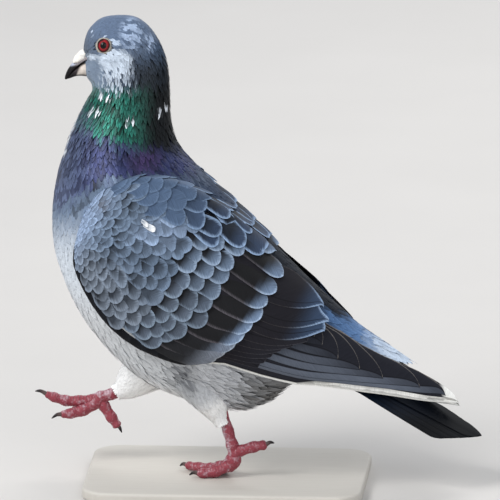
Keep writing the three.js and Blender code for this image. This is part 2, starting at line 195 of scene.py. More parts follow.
# ------------------------------------------------------------------ base
# A plain flat plate of painted wood, 6 mm thick with softly rounded edges, on which the bird stands.
# It was sawn, sanded and brushed with two coats of matt paint, so faint strokes run along it.
BASE_SIZE = (112.0, 150.0, 6.0)
BASE_CORNER = 16.0
BASE_EDGE = 1.6
PAINT_COLOURS = ("#bdb8af", "#cbc7bf")
BRUSH_STROKES = (900, 40, 300)       # to the metre: strokes about 1 mm wide and 25 mm long


def new_mesh(name, points, faces, attributes=(), maps=()):
    """A smooth mesh from points in millimetres and arrays of faces. attributes hold (name, kind, one value
    a point), and maps hold (name, one UV place a point)."""
    mesh = bpy.data.meshes.new(name)
    corners = np.concatenate([f.ravel() for f in faces]).astype(np.int32)
    sizes = np.concatenate([np.full(len(f), f.shape[1]) for f in faces])
    mesh.vertices.add(len(points))
    mesh.vertices.foreach_set("co", in_frame(points).astype(np.float32).ravel())
    mesh.loops.add(len(corners))
    mesh.loops.foreach_set("vertex_index", corners)
    mesh.polygons.add(len(sizes))
    mesh.polygons.foreach_set("loop_start", (np.cumsum(sizes) - sizes).astype(np.int32))
    mesh.polygons.foreach_set("use_smooth", np.ones(len(sizes), bool))
    mesh.update(calc_edges=True)
    for label, kind, values in attributes:
        layer = mesh.attributes.new(label, kind, "POINT")
        if kind == "FLOAT_COLOR":
            values = np.concatenate([values, np.ones((len(values), 1))], 1)
        layer.data.foreach_set("color" if kind == "FLOAT_COLOR" else "value",
                               values.astype(np.float32).ravel())
    for label, values in maps:
        mesh.uv_layers.new(name=label).data.foreach_set("uv", values[corners].astype(np.float32).ravel())
    return mesh


def new_piece(name, mesh, material, slot, *nodes):
    """A piece of the bird from a finished mesh, riding on the root body and standing for CAD nodes."""
    mesh.materials.clear()
    mesh.materials.append(material)
    piece = bpy.data.objects.new(name, mesh)
    bpy.context.scene.collection.objects.link(piece)
    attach(piece, "root")
    if nodes:
        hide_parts(*nodes)
    return piece


def tube_faces(rings, count, copies=1, mirrored=False, hoop=False):
    """Faces of closed tubes of rings of count points, with a polygon at each end, or of hoops whose last
    ring meets their first. They face outwards where the rings turn left about the way that the tube runs."""
    i, j = np.meshgrid(np.arange(rings if hoop else rings - 1), np.arange(count), indexing="ij")
    ring, after = i * count, (i + 1) % rings * count
    sides = np.stack([ring + j, ring + (j + 1) % count, after + (j + 1) % count, after + j], -1)
    ends = np.stack([np.arange(count)[::-1], (rings - 1) * count + np.arange(count)])
    start = np.arange(copies)[:, None, None] * rings * count
    faces = [(sides.reshape(-1, 4) + start).reshape(-1, 4)]
    if not hoop:
        faces.append((ends + start).reshape(-1, count))
    return [f[:, ::-1] for f in faces] if mirrored else faces


def tube_mesh(name, rings, tone=None, attributes=(), **way):
    """The mesh of one closed tube or hoop from its rings of points, with a colour for each point."""
    if tone is not None:
        attributes = [("Tone", "FLOAT_COLOR", tone.reshape(-1, 3))]
    return new_mesh(name, rings.reshape(-1, 3), tube_faces(*rings.shape[:2], **way), attributes)


def rounded_plate(size, corner, edge, steps=8):
    """A plate's rings, from under its middle out round its edge and back over its top. Each ring is the
    rounded rectangle drawn in by a distance, and the edge is a quarter circle below and above."""
    angle = (np.arange(8 * steps) + 0.5) / (8 * steps) * 2 * np.pi
    outward = np.stack([np.cos(angle), np.sin(angle)], 1)
    quarter = np.linspace(0, np.pi / 2, 6)
    inset = np.concatenate([[corner * 0.9], edge * (1 - np.sin(quarter)), edge * (1 - np.cos(quarter)),
                            [corner * 0.9]])
    height = np.concatenate([[0], edge * (1 - np.cos(quarter)), size[2] - edge * (1 - np.sin(quarter)),
                             [size[2]]])
    flat = np.sign(outward) * (np.array(size[:2]) / 2 - corner) + (corner - inset)[:, None, None] * outward
    return np.concatenate([flat, np.broadcast_to(height[:, None, None], (*flat.shape[:2], 1))], -1)


# Brushed matt paint: it scatters light evenly, and its strokes break up the edges' soft highlight.
paint, tree, shader = finish("matt painted wood", Roughness=0.62)
strokes = speckled(tree, 1.0, 3.0, BRUSH_STROKES)
dress(tree, shader, tinted(tree, strokes, *map(rgba, PAINT_COLOURS)), strokes, 0.15, 0.0002)
plate = rounded_plate(BASE_SIZE, BASE_CORNER, BASE_EDGE) + [0, BASE_MIDDLE, 0]
new_piece("base", tube_mesh("base", plate), paint, "base", "stand_base")

# ------------------------------------------------------------------ body form and its markings
# Head, neck and trunk are one smooth form. Each row of BODY is a cross-section that fans about the throat:
# throat or belly point (y, z), crown or back point (y, z) and half width. Plumage is coloured by its place.
BODY = np.array([
    [-63.6, 223.5, -65.2, 234.5, 4.0],
    [-62.8, 220.8, -64.0, 242.4, 7.0],
    [-61.9, 219.6, -60.9, 248.8, 9.4],
    [-60.7, 217.8, -53.6, 254.2, 11.2],
    [-60.2, 214.8, -39.7, 255.1, 12.6],
    [-61.1, 212.3, -31.1, 250.7, 13.2],
    [-63.0, 209.5, -24.2, 241.4, 14.0],
    [-65.7, 204.3, -19.9, 229.6, 16.0],
    [-68.9, 198.2, -18.5, 214.9, 18.6],
    [-72.7, 189.9, -18.0, 199.5, 22.8],
    [-75.6, 179.9, -14.6, 186.4, 29.0],
    [-78.9, 168.9, -6.4, 175.6, 35.5],
    [-81.8, 147.0, 6.2, 162.2, 42.5],
    [-78.8, 120.6, 19.2, 149.0, 44.5],
    [-62.2, 85.7, 35.4, 133.2, 42.0],
    [-30.6, 55.0, 51.6, 116.8, 37.0],
    [10.0, 42.2, 65.6, 103.6, 30.0],
    [31.0, 45.2, 74.6, 95.4, 25.0],
    [50.0, 60.0, 83.0, 87.8, 19.5],
    [74.0, 57.0, 101.0, 75.5, 15.0],
    [97.0, 47.0, 120.0, 62.0, 12.0],     # only carries the coverts that lie over the tail
])
BODY_PINCH = 0.14                    # how much narrower the form is towards the crown and back
BODY_END = 18.9                      # the last row that carries skin and feathers
LORE = (-64.0, 231.5, 3.4, 5.0)      # y and z of the hollow between eye and bill, and its reach along each
LORE_DEPTH = 0.5


def blended(rows, place):
    """Rows of numbers at a place counted in rows, blended by Catmull and Rom's cubic."""
    place = np.clip(place, 0, len(rows) - 1.0001)
    i = place.astype(int)
    f = (place - i)[..., None]
    before, a, b, after = (rows[np.clip(i + k, 0, len(rows) - 1)] for k in (-1, 0, 1, 2))
    curved = 2 * before - 5 * a + 4 * b - after + f * (3 * (a - b) + after - before)
    return a + f / 2 * (b - before + f * curved)


def body_form(u, v, inset=0.0):
    """A place on the body: u counts rows of BODY and v is the angle round the section, from the back (0)
    over the left side to the belly (pi). The section is an oval pinched towards the back, with a hollow
    on the lore that falls off as a bell curve."""
    row = blended(BODY, u)
    inset = np.asarray(inset, float)[..., None]
    reach = (row[..., 2:4] - row[..., 0:2]) / 2
    long = np.linalg.norm(reach, axis=-1, keepdims=True)
    line = (row[..., 0:2] + row[..., 2:4]) / 2 + reach / long * np.cos(v)[..., None] * (long - inset)
    side = np.sin(v) * (1 - BODY_PINCH * np.maximum(np.cos(v), 0)) * (row[..., 4] - inset[..., 0])
    hollow = ((line[..., 0] - LORE[0]) / LORE[2]) ** 2 + ((line[..., 1] - LORE[1]) / LORE[3]) ** 2
    side = side * (1 - LORE_DEPTH * np.exp(-hollow))
    return np.concatenate([side[..., None], line], -1)


def soft(value, low, high):
    """0 below low, 1 above high and a smooth step between them."""
    t = np.clip((value - low) / (high - low), 0, 1)
    return t * t * (3 - 2 * t)


def mixed(first, second, share):
    """Colours blended by a share for each."""
    return first + (second - first) * np.asarray(share)[..., None]


def spot(points, centre, radii, edge=0.35):
    """1 inside an ellipsoid about a place, on either side of the bird, with a soft edge."""
    away = np.stack([np.abs(points[..., 0]), points[..., 1], points[..., 2]], -1) - centre
    return 1 - soft(np.linalg.norm(away / np.array(radii), axis=-1), 1 - edge, 1 + edge)


TONES = {name: linear(colour) for name, colour in {
    "slate": "#465468", "crown": "#536681", "chin": "#6b7b8f", "nape": "#161d24", "cheek": "#cad6e4",
    "hind head": "#97a9c4", "white": "#e4eaf1", "white on crown": "#a9b8cc",
    "green": "#1f6b5d", "green in shade": "#0d1215", "throat": "#5f7385",
    "violet": "#323961", "violet in front": "#5c6887", "violet in shade": "#1d2036", "purple": "#4b2f58",
    "breast": "#6a7b92", "low breast": "#cdd5de", "belly": "#cfd2d5", "mantle": "#26364e", "back": "#18212e",
    "flank": "#c0c2c6", "dusk": "#54565c", "vent": "#4b4946", "groin": "#e6e7e8", "crease": "#22272d",
    "ridge": "#111823", "rump": "#5677a3", "over tail": "#bccadb",
}.items()}
PATCHES = {                          # middle (x, y, z), reach along each, and how soft the edge is
    "chin": ((8.0, -59.0, 224.0), (12, 9, 11), 0.5),
    "cheek": ((11.5, -46.6, 232.6), (9, 8.8, 5.4), 0.25),
    "line through cheek": ((12.5, -47.0, 232.4), (9, 6.0, 0.7), 0.5),
    "low cheek": ((13.5, -46.0, 226.5), (9, 8.6, 5.0), 0.4),
    "cheek on neck": ((13.5, -47.0, 219.0), (9, 10.0, 6.0), 0.5),
    "jaw": ((9.0, -60.0, 227.6), (9, 5.6, 5.2), 0.3),
    "under eye": ((8.5, -58.4, 234.4), (5, 5.0, 1.5), 0.3),
    "hind head": ((9.0, -38.0, 247.8), (8, 5.6, 9.4), 0.4),
    "above nape": ((8.0, -28.2, 241.6), (6, 3.0, 4.5), 0.5),
    "purple": ((20.0, -30.0, 180.0), (20, 9, 7), 0.6),
    "dusk": ((30.0, -7.0, 61.0), (16, 6.5, 10.0), 0.7),
    "groin": ((8.0, -26.0, 47.0), (18, 20, 9), 0.5),
}
# Small white feathers on the hind head, brow and neck: place (x, y, z) and radius.
FLECKS = [
    (5.1, -59.6, 247.8, 0.9), (6.2, -58.7, 245.6, 0.9), (9.6, -52, 245.4, 1), (11.4, -47.9, 242.8, 1.9),
    (11.6, -45.3, 242.2, 1.6), (13.2, -55.2, 211.4, 1.5), (15.4, -51.2, 211.4, 1.5), (12.8, -60.9, 204, 1.7),
    (12.4, -61.2, 202, 1.5), (15.3, -57.6, 203.2, 1.6), (20, -40, 200.6, 1.3), (20.2, -40.1, 197.6, 1.3),
    (20.3, -36.6, 199, 1.3), (20, -34.6, 200, 1.2), (14.8, -44.6, 215.5, 1.3), (15.6, -41.6, 214.6, 1.2),
    (11, -23.4, 202.5, 1.7), (6.8, -20.4, 204.3, 1.4), (2.1, -71.7, 191.5, 3.2), (3.6, -73.6, 185.5, 3),
    (5.4, -75.2, 180, 2.6), (1.6, -70, 196.5, 2),
]
BREAST_CREASE_SHADE = np.linspace((34.0, -52.9, 171.1), (33.0, -67.5, 151.7), 9)   # painted shade where the breast meets the wing's front edge
CREASE_SHADE_REACH = (6.0, 1.7, 1.7)


def markings(points, luck):
    """The plumage's colour at places in millimetres, painted zone over zone from head to tail. luck, from 0
    to 1 for each place, breaks up the edges of the zones and varies the tone."""
    y, z = points[..., 1], points[..., 2]
    torn = luck - 0.5
    patch = {name: spot(points, *where) for name, where in PATCHES.items()}
    colour = np.broadcast_to(TONES["slate"], points.shape).copy()

    def paint_over(tone, share):
        """Lays a tone over the colour so far, by a share for each place."""
        colour[:] = mixed(colour, TONES[tone] if isinstance(tone, str) else tone, share)

    # Head: slate, with a dark nape, grey chin and a white cheek that breaks up into the neck.
    paint_over("crown", 0.8 * soft(z + 0.5 * y, 208, 222))
    paint_over("chin", patch["chin"])
    paint_over("nape", 0.95 * soft(y + 0.12 * (z - 200) + 7 * torn, -46, -28) * (1 - soft(z, 222, 246)))
    cheek = 0.92 * patch["cheek"] * (1 - 0.35 * patch["line through cheek"])
    cheek = np.maximum(cheek, 0.9 * patch["low cheek"] * (torn < 0.3))
    cheek = np.maximum(cheek, 0.75 * patch["cheek on neck"] * (torn < -0.1))
    cheek = np.maximum(cheek * (1 - patch["jaw"]), 0.8 * patch["under eye"])
    wave = np.sin(1.25 * z + 0.8 * np.sin(0.9 * y) + 0.4 * y)
    hind = np.maximum(patch["hind head"] * soft(wave + 2.0 * torn, -0.5, 0.4),
                      patch["above nape"] * soft(torn, -0.3, 0.1))
    # Collar: green above, violet below, each feather catching the light in its own way.
    fall = z + 0.22 * (y + 45)
    green = (1 - soft(z + 5 * torn, 212, 221)) * soft(fall + 4 * torn, 184, 192)
    sheen = mixed(TONES["green in shade"], TONES["green"] * (0.25 + 0.95 * luck[..., None]),
                  1 - soft(y + 5 * torn, -40, -24))
    # The collar's front turns blue-grey: partly paler feathers, partly painted sheen.
    sheen = mixed(sheen, TONES["throat"], 0.8 * (1 - soft(y + 0.5 * (z - 200) + 8 * torn, -68, -56)))
    paint_over(sheen, green)
    low_edge = 168 - 0.65 * np.clip(-50 - y, 0, 30)
    trunk = 1 - soft(z + 5 * torn, low_edge - 4, low_edge + 6)
    violet = (1 - soft(fall + 4 * torn, 184, 192)) * (1 - trunk)
    paint_over(mixed(TONES["violet in front"], TONES["violet"], soft(y + 6 * torn, -74, -56)), violet)
    paint_over("purple", 0.5 * violet * patch["purple"])
    paint_over("violet in shade", 0.6 * violet * (luck > 0.62))
    # Trunk: blue-grey breast that pales to the belly, slate mantle, grey flank, dusky vent and pale rump.
    paint_over("breast", trunk)
    paint_over("low breast", trunk * (1 - soft(z - 0.3 * (y + 78), 120, 152)))
    paint_over("belly", (1 - soft(z - 0.2 * (y + 60), 84, 124)) * (1 - soft(y, 0, 45)))
    paint_over("mantle", trunk * soft(y - 0.9 * (160 - z), -30, -6))
    paint_over("back", trunk * soft(y, 18, 38) * soft(z + 0.5 * y, 108, 122))
    paint_over("flank", 0.9 * soft(y + 8 * torn, -14, 8) * (1 - soft(z, 66, 82)))
    paint_over("dusk", patch["dusk"] * (0.4 + 0.6 * luck))
    paint_over("vent", 0.9 * soft(y + 16 * torn, 14, 42) * (1 - soft(z, 56, 76)))
    paint_over("groin", patch["groin"])
    rump = soft(y + 4 * torn, 60, 70) * soft(z + 0.55 * y, 117, 124)
    paint_over("rump", rump)
    paint_over("over tail", rump * soft(y + 4 * torn, 82, 102))
    # Painted shade: a near-black band along the back's ridge, where the far wing meets the back.
    ridge = soft(z + 0.7 * y + torn, 143, 146) * soft(y, 30, 44) * (1 - soft(y, 74, 84))
    paint_over("ridge", trunk * ridge)
    # White and single feathers come last.
    # Painted shade in the fold between the breast and the wing's front edge.
    crease = np.max([spot(points, place, CREASE_SHADE_REACH, 0.6) for place in BREAST_CREASE_SHADE], axis=0)
    paint_over("crease", (0.35 + 0.45 * luck) * crease)
    paint_over("cheek", np.clip(cheek, 0, 1) * (0.86 + 0.14 * luck))
    paint_over("hind head", np.clip(hind, 0, 1))
    fleck = np.max([spot(points, f[:3], (f[3],) * 3, 0.25) for f in FLECKS], axis=0)
    paint_over(mixed(TONES["white"], TONES["white on crown"], soft(z, 232, 239)), fleck)
    return colour * (0.91 + 0.18 * luck[..., None])


# ------------------------------------------------------------------ skin
# The skin under the feathers: one unbroken surface over head, neck, trunk, thighs and the arm of each wing.
# It lies inside the plumage by the coat's depth, and the forms are fused and then eased into each other.
# Rows of WING run from wrist to tip: upper edge (x, y, z), lower edge (x, y, z) and how far out it bulges.
WING = np.array([
    [32, -61.5, 156.5, 34, -66.0, 142.0, 36],
    [36, -52.0, 167.0, 37, -67.5, 127.0, 42.0],
    [37, -32.4, 174.4, 40, -59.9, 109.5, 46.0],
    [28, -10.4, 169.6, 42, -46.3, 92.3, 47.6],
    [18, 8.6, 156.8, 42, -28.4, 80.4, 48.0],
    [13, 28.2, 139.6, 41, -9.1, 74.1, 47.4],
    [11, 45.2, 123.0, 40, 10.2, 75.5, 45.8],
    [12, 58.4, 111.4, 38, 31.4, 68.6, 42.6],
    [15, 67.8, 100.0, 34, 53.6, 62.3, 37.6],
    [16.5, 80.2, 87.4, 27, 77.2, 58.1, 30.0],
    [12, 97.4, 76.6, 19.5, 99.6, 53.9, 21.5],
    [6.5, 115.8, 66.5, 12.5, 118.9, 49.9, 13.6],
    [4.0, 130.0, 56.0, 8.0, 131.5, 48.6, 8.2],
    [5.0, 135.6, 50.4, 6.2, 136.4, 47.6, 6.0],
])
# Rows of a thigh, from hip to heel: its middle (x, y, z) and its radius.
THIGHS = {
    "left": np.array([[15, -6, 66, 15], [14.8, 2.4, 51.5, 10.6], [14, 7.4, 41.5, 6.2], [14, 9.8, 36.5, 4.2]]),
    "right": np.array([[-17, -22, 66, 14], [-17.2, -33.4, 56.6, 12.8], [-18, -43.6, 47.4, 7.8],
                       [-18, -47.6, 44.8, 4.8]]),
}
COAT_DEPTH = ([0, 3, 8, 12], [0.7, 1.0, 2.2, 2.8])      # rows of BODY, and how deep the skin lies there
LEG_COAT_DEPTH = 1.4
WING_COAT_DEPTH = 3.0
ARM_THICK = 6.0
SKIN_GRAIN = 1.5                     # fineness of the fused surface
SKIN_EASE = 6                        # rounds of smoothing


def wing_form(u, v):
    """A place on the folded left wing's outer surface: u counts rows of WING from the wrist, and v runs from
    its upper edge (0) to its lower edge (1), bulging between them by a power of a parabola. Past either
    edge the surface turns in towards the body."""
    row = blended(WING, u)
    inner = np.clip(v, 0, 1)
    span = row[..., 3:6] - row[..., 0:3]
    place = row[..., 0:3] + span * inner[..., None]
    place[..., 0] += (row[..., 6] - (row[..., 0] + row[..., 3]) / 2) * (4 * inner * (1 - inner)) ** 0.66
    place[..., 0] -= np.abs(v - inner) * np.linalg.norm(span, axis=-1)
    return place


def limb_form(rows, u, v, inset=0.0):
    """A place on a limb: u counts rows (x, y, z, radius) down its middle line, v is the angle round it."""
    row = blended(rows, u)
    line = (blended(rows, u + 0.02) - blended(rows, u - 0.02))[..., :3]
    line /= np.linalg.norm(line, axis=-1, keepdims=True)
    side = np.cross(line, np.cross([1.0, 0, 0], line))
    side /= np.linalg.norm(side, axis=-1, keepdims=True)
    over = np.cross(line, side)
    radius = (row[..., 3] - inset)[..., None]
    return row[..., :3] + radius * (side * np.cos(v)[..., None] + over * np.sin(v)[..., None])


def flesh(shapes):
    """Points and faces of several closed forms, each a grid of rings, as one mesh."""
    points, quads, ends, start = [], [], [], 0
    for rings, mirrored in shapes:
        sides, caps = tube_faces(*rings.shape[:2], mirrored=mirrored)
        points.append(rings.reshape(-1, 3))
        quads.append(sides + start)
        ends += [cap[None] + start for cap in caps]
        start += rings.shape[0] * rings.shape[1]
    return np.concatenate(points), [np.concatenate(quads), *ends]


def around(low, high, rows, count):
    """A grid of `rows` stations from low to high and `count` angles round a closed section."""
    return np.meshgrid(np.linspace(low, high, rows), np.linspace(0, 2 * np.pi, count, endpoint=False),
                       indexing="ij")


u, v = around(0, BODY_END, 150, 72)
shapes = [(body_form(u, v, np.interp(u, *COAT_DEPTH)), False)]
u, v = around(0, 2.95, 16, 24)
shapes += [(limb_form(thigh, u, v, LEG_COAT_DEPTH), False) for thigh in THIGHS.values()]
u, v = np.meshgrid(np.linspace(0.4, 6.4, 44), np.linspace(0.05, 0.95, 24), indexing="ij")
arm = wing_form(u, v)
inward = arm.mean(1, keepdims=True) * [0, 1, 1] - arm
inward /= np.linalg.norm(inward, axis=-1, keepdims=True)
arm = np.concatenate([arm + inward * WING_COAT_DEPTH,
                      (arm + inward * (WING_COAT_DEPTH + ARM_THICK))[:, ::-1]], 1)
shapes += [(arm, False), (arm * [-1, 1, 1], True)]

# Skin carries the tone of the plumage over it, darker and matt, so a gap between feathers reads as shade.
bare, tree, shader = finish("thin skin under feathers", Roughness=0.8)
pores = speckled(tree, 900.0, 2.0)
shade = ranged(tree, pores, (0.0, 1.0), 0.5, 0.75)
dress(tree, shader, dimmed(tree, carried(tree, "Tone"), shade), pores, 0.4, 0.0006)
skin = new_piece("skin", new_mesh("skin", *flesh(shapes)), bare, "body_plumage", "head", "neck", "trunk",
                 "rump", "thigh_left", "thigh_right", *(f"wing_{side}_{part}" for side in ("left", "right")
                                                        for part in ("coverts", "scapulars")))
fuse = skin.modifiers.new("fuse", "REMESH")
fuse.mode = "VOXEL"
fuse.voxel_size = SKIN_GRAIN / 1000
ease = skin.modifiers.new("ease", "SMOOTH")
ease.iterations = SKIN_EASE
fused = bpy.data.meshes.new_from_object(skin.evaluated_get(bpy.context.evaluated_depsgraph_get()))
skin.modifiers.clear()
skin.data = fused
fused.polygons.foreach_set("use_smooth", np.ones(len(fused.polygons), bool))
place = np.empty(len(fused.vertices) * 3, np.float32)
fused.vertices.foreach_get("co", place)
place = place.reshape(-1, 3).astype(float) * 1000 - SHIFT
tones = np.concatenate([markings(place, np.full(len(place), 0.5)), np.ones((len(place), 1))], 1)
layer = fused.attributes.new("Tone", "FLOAT_COLOR", "POINT")
layer.data.foreach_set("color", tones.astype(np.float32).ravel())

# ------------------------------------------------------------------ coat of head, neck and trunk
# Contour feathers: a few thousand overlapping vanes on the body form. They are tiny and flat on the face,
# narrow and glossy on the neck, broad on breast and back, and long and loose towards the vent.
STATION = [0, 2, 4, 5.6, 7, 9, 11, 13, 15, 18, 20]         # rows of BODY at which the sizes below hold
COAT_LONG = [2.2, 2.8, 3.6, 5.0, 6.6, 8.5, 9.5, 11, 11, 13, 20]
COAT_APART = [0.72, 0.85, 0.95, 1.05, 1.25, 1.6, 1.9, 2.1, 2.0, 2.2, 3.2]
COAT_HALF = [0.55, 0.7, 0.8, 0.75, 0.8, 1.1, 1.8, 1.9, 1.5, 1.6, 3.0]
COAT_SINK = [0.1, 0.12, 0.2, 0.6, 1.3, 1.4, 0.7, 0.5, 0.55, 0.8, 1.0]
COAT_TIP = [0.5, 0.5, 0.6, 0.9, 1.0, 0.8, 0.7, 0.7, 0.8, 0.9, 0.7]    # 0.5 is round, 1 is pointed
COAT_DOWN_AND_SHADE = [0.95, 0.95, 0.9, 0.55, 0.25, 0.3, 0.8, 0.94, 0.8, 0.6, 0.8]   # how light the roots are: their dark is partly down and partly painted shade
NECK_FROM, TRUNK_FROM, BELLY_FROM = 5.6, 10.8, 14          # rows of BODY where each kind of feather begins
EYE = np.array([7.4, -53.0, 239.9])
EYE_RADIUS = 4.9
LID_REACH = 4.3                      # how far the bare ring round the eye keeps feathers off
LID_MIDDLE = EYE + [2.6, -0.2, 0.8]  # measured from here, on the skin over the ball
PATCH = 0.003                        # size of a small feather's patch in the OFBake map
SLOTS = 1024                         # cells of a patch map's atlas for large feathers, a square number
STRAY = ([0, 6, 12, 16], [0.3, 0.35, 0.4, 0.6])         # rows of BODY, and how far feathers turn, radians
LOOSE = ([13, 15, 16], [0, 1.0, 2.6])                   # rows, and how far off the belly's feathers stand
WING_COVERS = 9.0                    # how far inside the wing's outline the body bears no feathers
WING_CLEAR = 14.0                    # and only further out than this from the middle
SCATTER_GRID = (360, 240)
BARB_SLANT = 1.1                     # how far a barb runs towards the tip for each mm away from the shaft


def speed(step):
    """The length of each step vector, kept above nothing."""
    return np.maximum(np.linalg.norm(step, axis=-1), 0.3)


def surface(form, u, v):
    """The place on a form, the steps along its two parameters and its outward normal."""
    tiny = 1e-3
    place = form(u, v)
    along = (form(u + tiny, v) - form(u - tiny, v)) / (2 * tiny)
    across = (form(u, v + tiny) - form(u, v - tiny)) / (2 * tiny)
    normal = np.cross(across, along)
    return place, along, across, normal / np.maximum(np.linalg.norm(normal, axis=-1, keepdims=True), 1e-9)


def scattered(form, u_span, v_span, apart, seed, crowd=9):
    """Roots (u, v) at an even but random distance on a form. Places, `crowd` for each square of the distance,
    are drawn in proportion to the area over it, and then each in turn clears away those nearer than it."""
    draw = np.random.default_rng(seed)
    u, v = np.meshgrid(*(np.linspace(*span, n, endpoint=False) + (span[1] - span[0]) / n / 2
                         for span, n in zip((u_span, v_span), SCATTER_GRID)), indexing="ij")
    _, along, across, _ = surface(form, u, v)
    cell = (u_span[1] - u_span[0]) * (v_span[1] - v_span[0]) / u.size
    share = np.linalg.norm(np.cross(across, along), axis=-1) * cell / apart(u) ** 2
    pick = draw.choice(u.size, int(share.sum() * crowd), p=(share / share.sum()).ravel())
    jitter = draw.random((2, len(pick))) - 0.5
    u = u.ravel()[pick] + jitter[0] * (u_span[1] - u_span[0]) / SCATTER_GRID[0]
    v = v.ravel()[pick] + jitter[1] * (v_span[1] - v_span[0]) / SCATTER_GRID[1]
    tree = kdtree.KDTree(len(u))
    places = form(u, v)
    for i, place in enumerate(places):
        tree.insert(place, i)
    tree.balance()
    free = np.ones(len(u), bool)
    kept = []
    for i, reach in enumerate(apart(u)):
        if free[i]:
            kept.append(i)
            free[[found[1] for found in tree.find_range(places[i], reach)]] = False
    return u[kept], v[kept]


def walk(form, u, v, long, turn, share):
    """Lines laid on a form from each root: `long` mm in all, turned by an angle from the first parameter
    towards the second, with points at the given shares of the length."""
    lines = [(u, v)]
    for ahead in np.diff(share):
        _, along, across, _ = surface(form, *lines[-1])
        lines.append((lines[-1][0] + long * ahead * np.cos(turn) / speed(along),
                      lines[-1][1] + long * ahead * np.sin(turn) / speed(across)))
    return np.stack([line[0] for line in lines], 1), np.stack([line[1] for line in lines], 1)


def vane_shape(share, tip, root=0.45, widest=0.45):
    """A vane's relative width along its shaft: it widens from the root to `widest` and closes at the end as
    (1 - t squared) to the power `tip`, which is round at 0.5 and pointed at 1. widest is a number or one
    for each vane."""
    widest = np.reshape(widest, (-1, 1))
    t = np.clip((share - widest) / (1 - widest), 0, 0.995)
    rise = root + (1 - root) * np.sin(np.clip(share / widest, 0, 1) * np.pi / 2)
    return rise * (1 - t * t) ** np.asarray(tip)[..., None]


def vanes(form, u, v, share, long, half, width, height, columns=3, outer=1.0, lean=0.0, crown=0.12,
          thick=0.12):
    """Vanes laid on a form along lines (u, v). Each vane's ring has `columns` points across it, from its
    left edge to its right one, and one under its shaft. It stands `height` mm off the form, bulges by
    `crown` of its half width, leans so that its right edge is raised by `lean` mm and its left one lowered,
    and its right web is `outer` times as wide as its left one."""
    w = np.linspace(-1, 1, columns)
    _, _, across, _ = surface(form, u, v)
    reach = (half[:, None] * width / speed(across))[..., None] * np.where(w > 0, outer, 1) * w
    place, _, _, normal = surface(form, u[..., None] + 0 * w, v[..., None] + reach)
    bulge = (half[:, None] * width * crown)[..., None] * (1 - w * w)
    top = place + normal * (height[..., None] + bulge + lean * w)[..., None]
    middle, _, _, up = surface(form, u, v)
    under = middle + up * (height - thick)[..., None]
    edge = (half[:, None] * width)[..., None] * np.where(w > 0, outer, 1) * (1 - np.abs(w))
    rim = np.minimum(edge, ((1 - share) * long[:, None])[..., None])
    flat = np.stack(np.broadcast_arrays((half[:, None] * width)[..., None] * np.where(w > 0, outer, 1) * w,
                                        (share * long[:, None])[..., None]), -1)
    return {"points": np.concatenate([top, under[:, :, None]], 2),
            "rim": np.concatenate([rim, rim.max(2, keepdims=True)], 2),
            "vane": np.concatenate([flat, flat[:, :, columns // 2][:, :, None]], 2),
            "share": share, "w": np.append(w, 0.0)}


def coat_mesh(name, parts, seed, mirrored=False):
    """One mesh of many vanes. Each part has its vanes, tone (a colour a point), edge (the colour of the
    fringe), fringe (its width in mm, for a vane or at each station), root (the middle of each vane's patch
    in the OFBake map) and patch (that patch's size)."""
    draw = np.random.default_rng(seed)
    points, faces, tone, edge, rim, vane, bake, start = [], {}, [], [], [], [], [], 0
    for part in parts:
        count, rows, ring = part["points"].shape[:3]
        for face in tube_faces(rows, ring, count, mirrored):
            faces.setdefault(face.shape[1], []).append(face + start)
        start += count * rows * ring
        points.append(part["points"] * [-1 if mirrored else 1, 1, 1])
        tone.append(np.broadcast_to(part["tone"], part["points"].shape))
        edge.append(np.broadcast_to(part["edge"], part["points"].shape))
        rim.append(part["rim"] / np.reshape(part["fringe"], (count, -1, 1)))
        offset = np.stack([np.zeros(count), draw.random(count) * 900], 1)
        vane.append(part["vane"] + offset[:, None, None])
        across = np.broadcast_to(part["w"], (rows, ring)) * 0.5
        lengthways = np.broadcast_to(part["share"][:, None] - 0.5, (rows, ring))
        patch = np.stack([across, lengthways], -1) * part["patch"]
        bake.append(part["root"][:, None, None] + patch)

    def flat(arrays):
        """Arrays of rows, each of its own shape, as one list of rows."""
        return np.concatenate([a.reshape(-1, a.shape[-1]) for a in arrays])

    mesh = new_mesh(name, flat(points), [np.concatenate(group) for group in faces.values()],
                    [("Tone", "FLOAT_COLOR", flat(tone)), ("Edge", "FLOAT_COLOR", flat(edge)),
                     ("Rim", "FLOAT", np.concatenate([r.ravel() for r in rim]))],
                    [("Vane", flat(vane)), ("OFBake", flat(bake))])
    # The rim of each vane is sharp, so its upper side is shaded as a flat blade.
    kinds = np.concatenate([np.tile(np.where((np.arange(ring) == 0) | (np.arange(ring) == ring - 2),
                                             np.arange(ring) + 1, 0), count * rows)
                            for count, rows, ring in (part["points"].shape[:3] for part in parts)])
    ends = np.empty(len(mesh.edges) * 2, np.int32)
    mesh.edges.foreach_get("vertices", ends)
    first, second = kinds[ends.reshape(-1, 2)].T
    sharp = mesh.attributes.new("sharp_edge", "BOOLEAN", "EDGE")
    sharp.data.foreach_set("value", (first > 0) & (first == second))
    return mesh


def atlas(count, first=0):
    """Middles of cells in a square atlas of patches, one for each of `count` large vanes."""
    side = int(SLOTS ** 0.5)
    cell = first + np.arange(count)
    return (np.stack([cell % side, cell // side], 1) + 0.5) / side


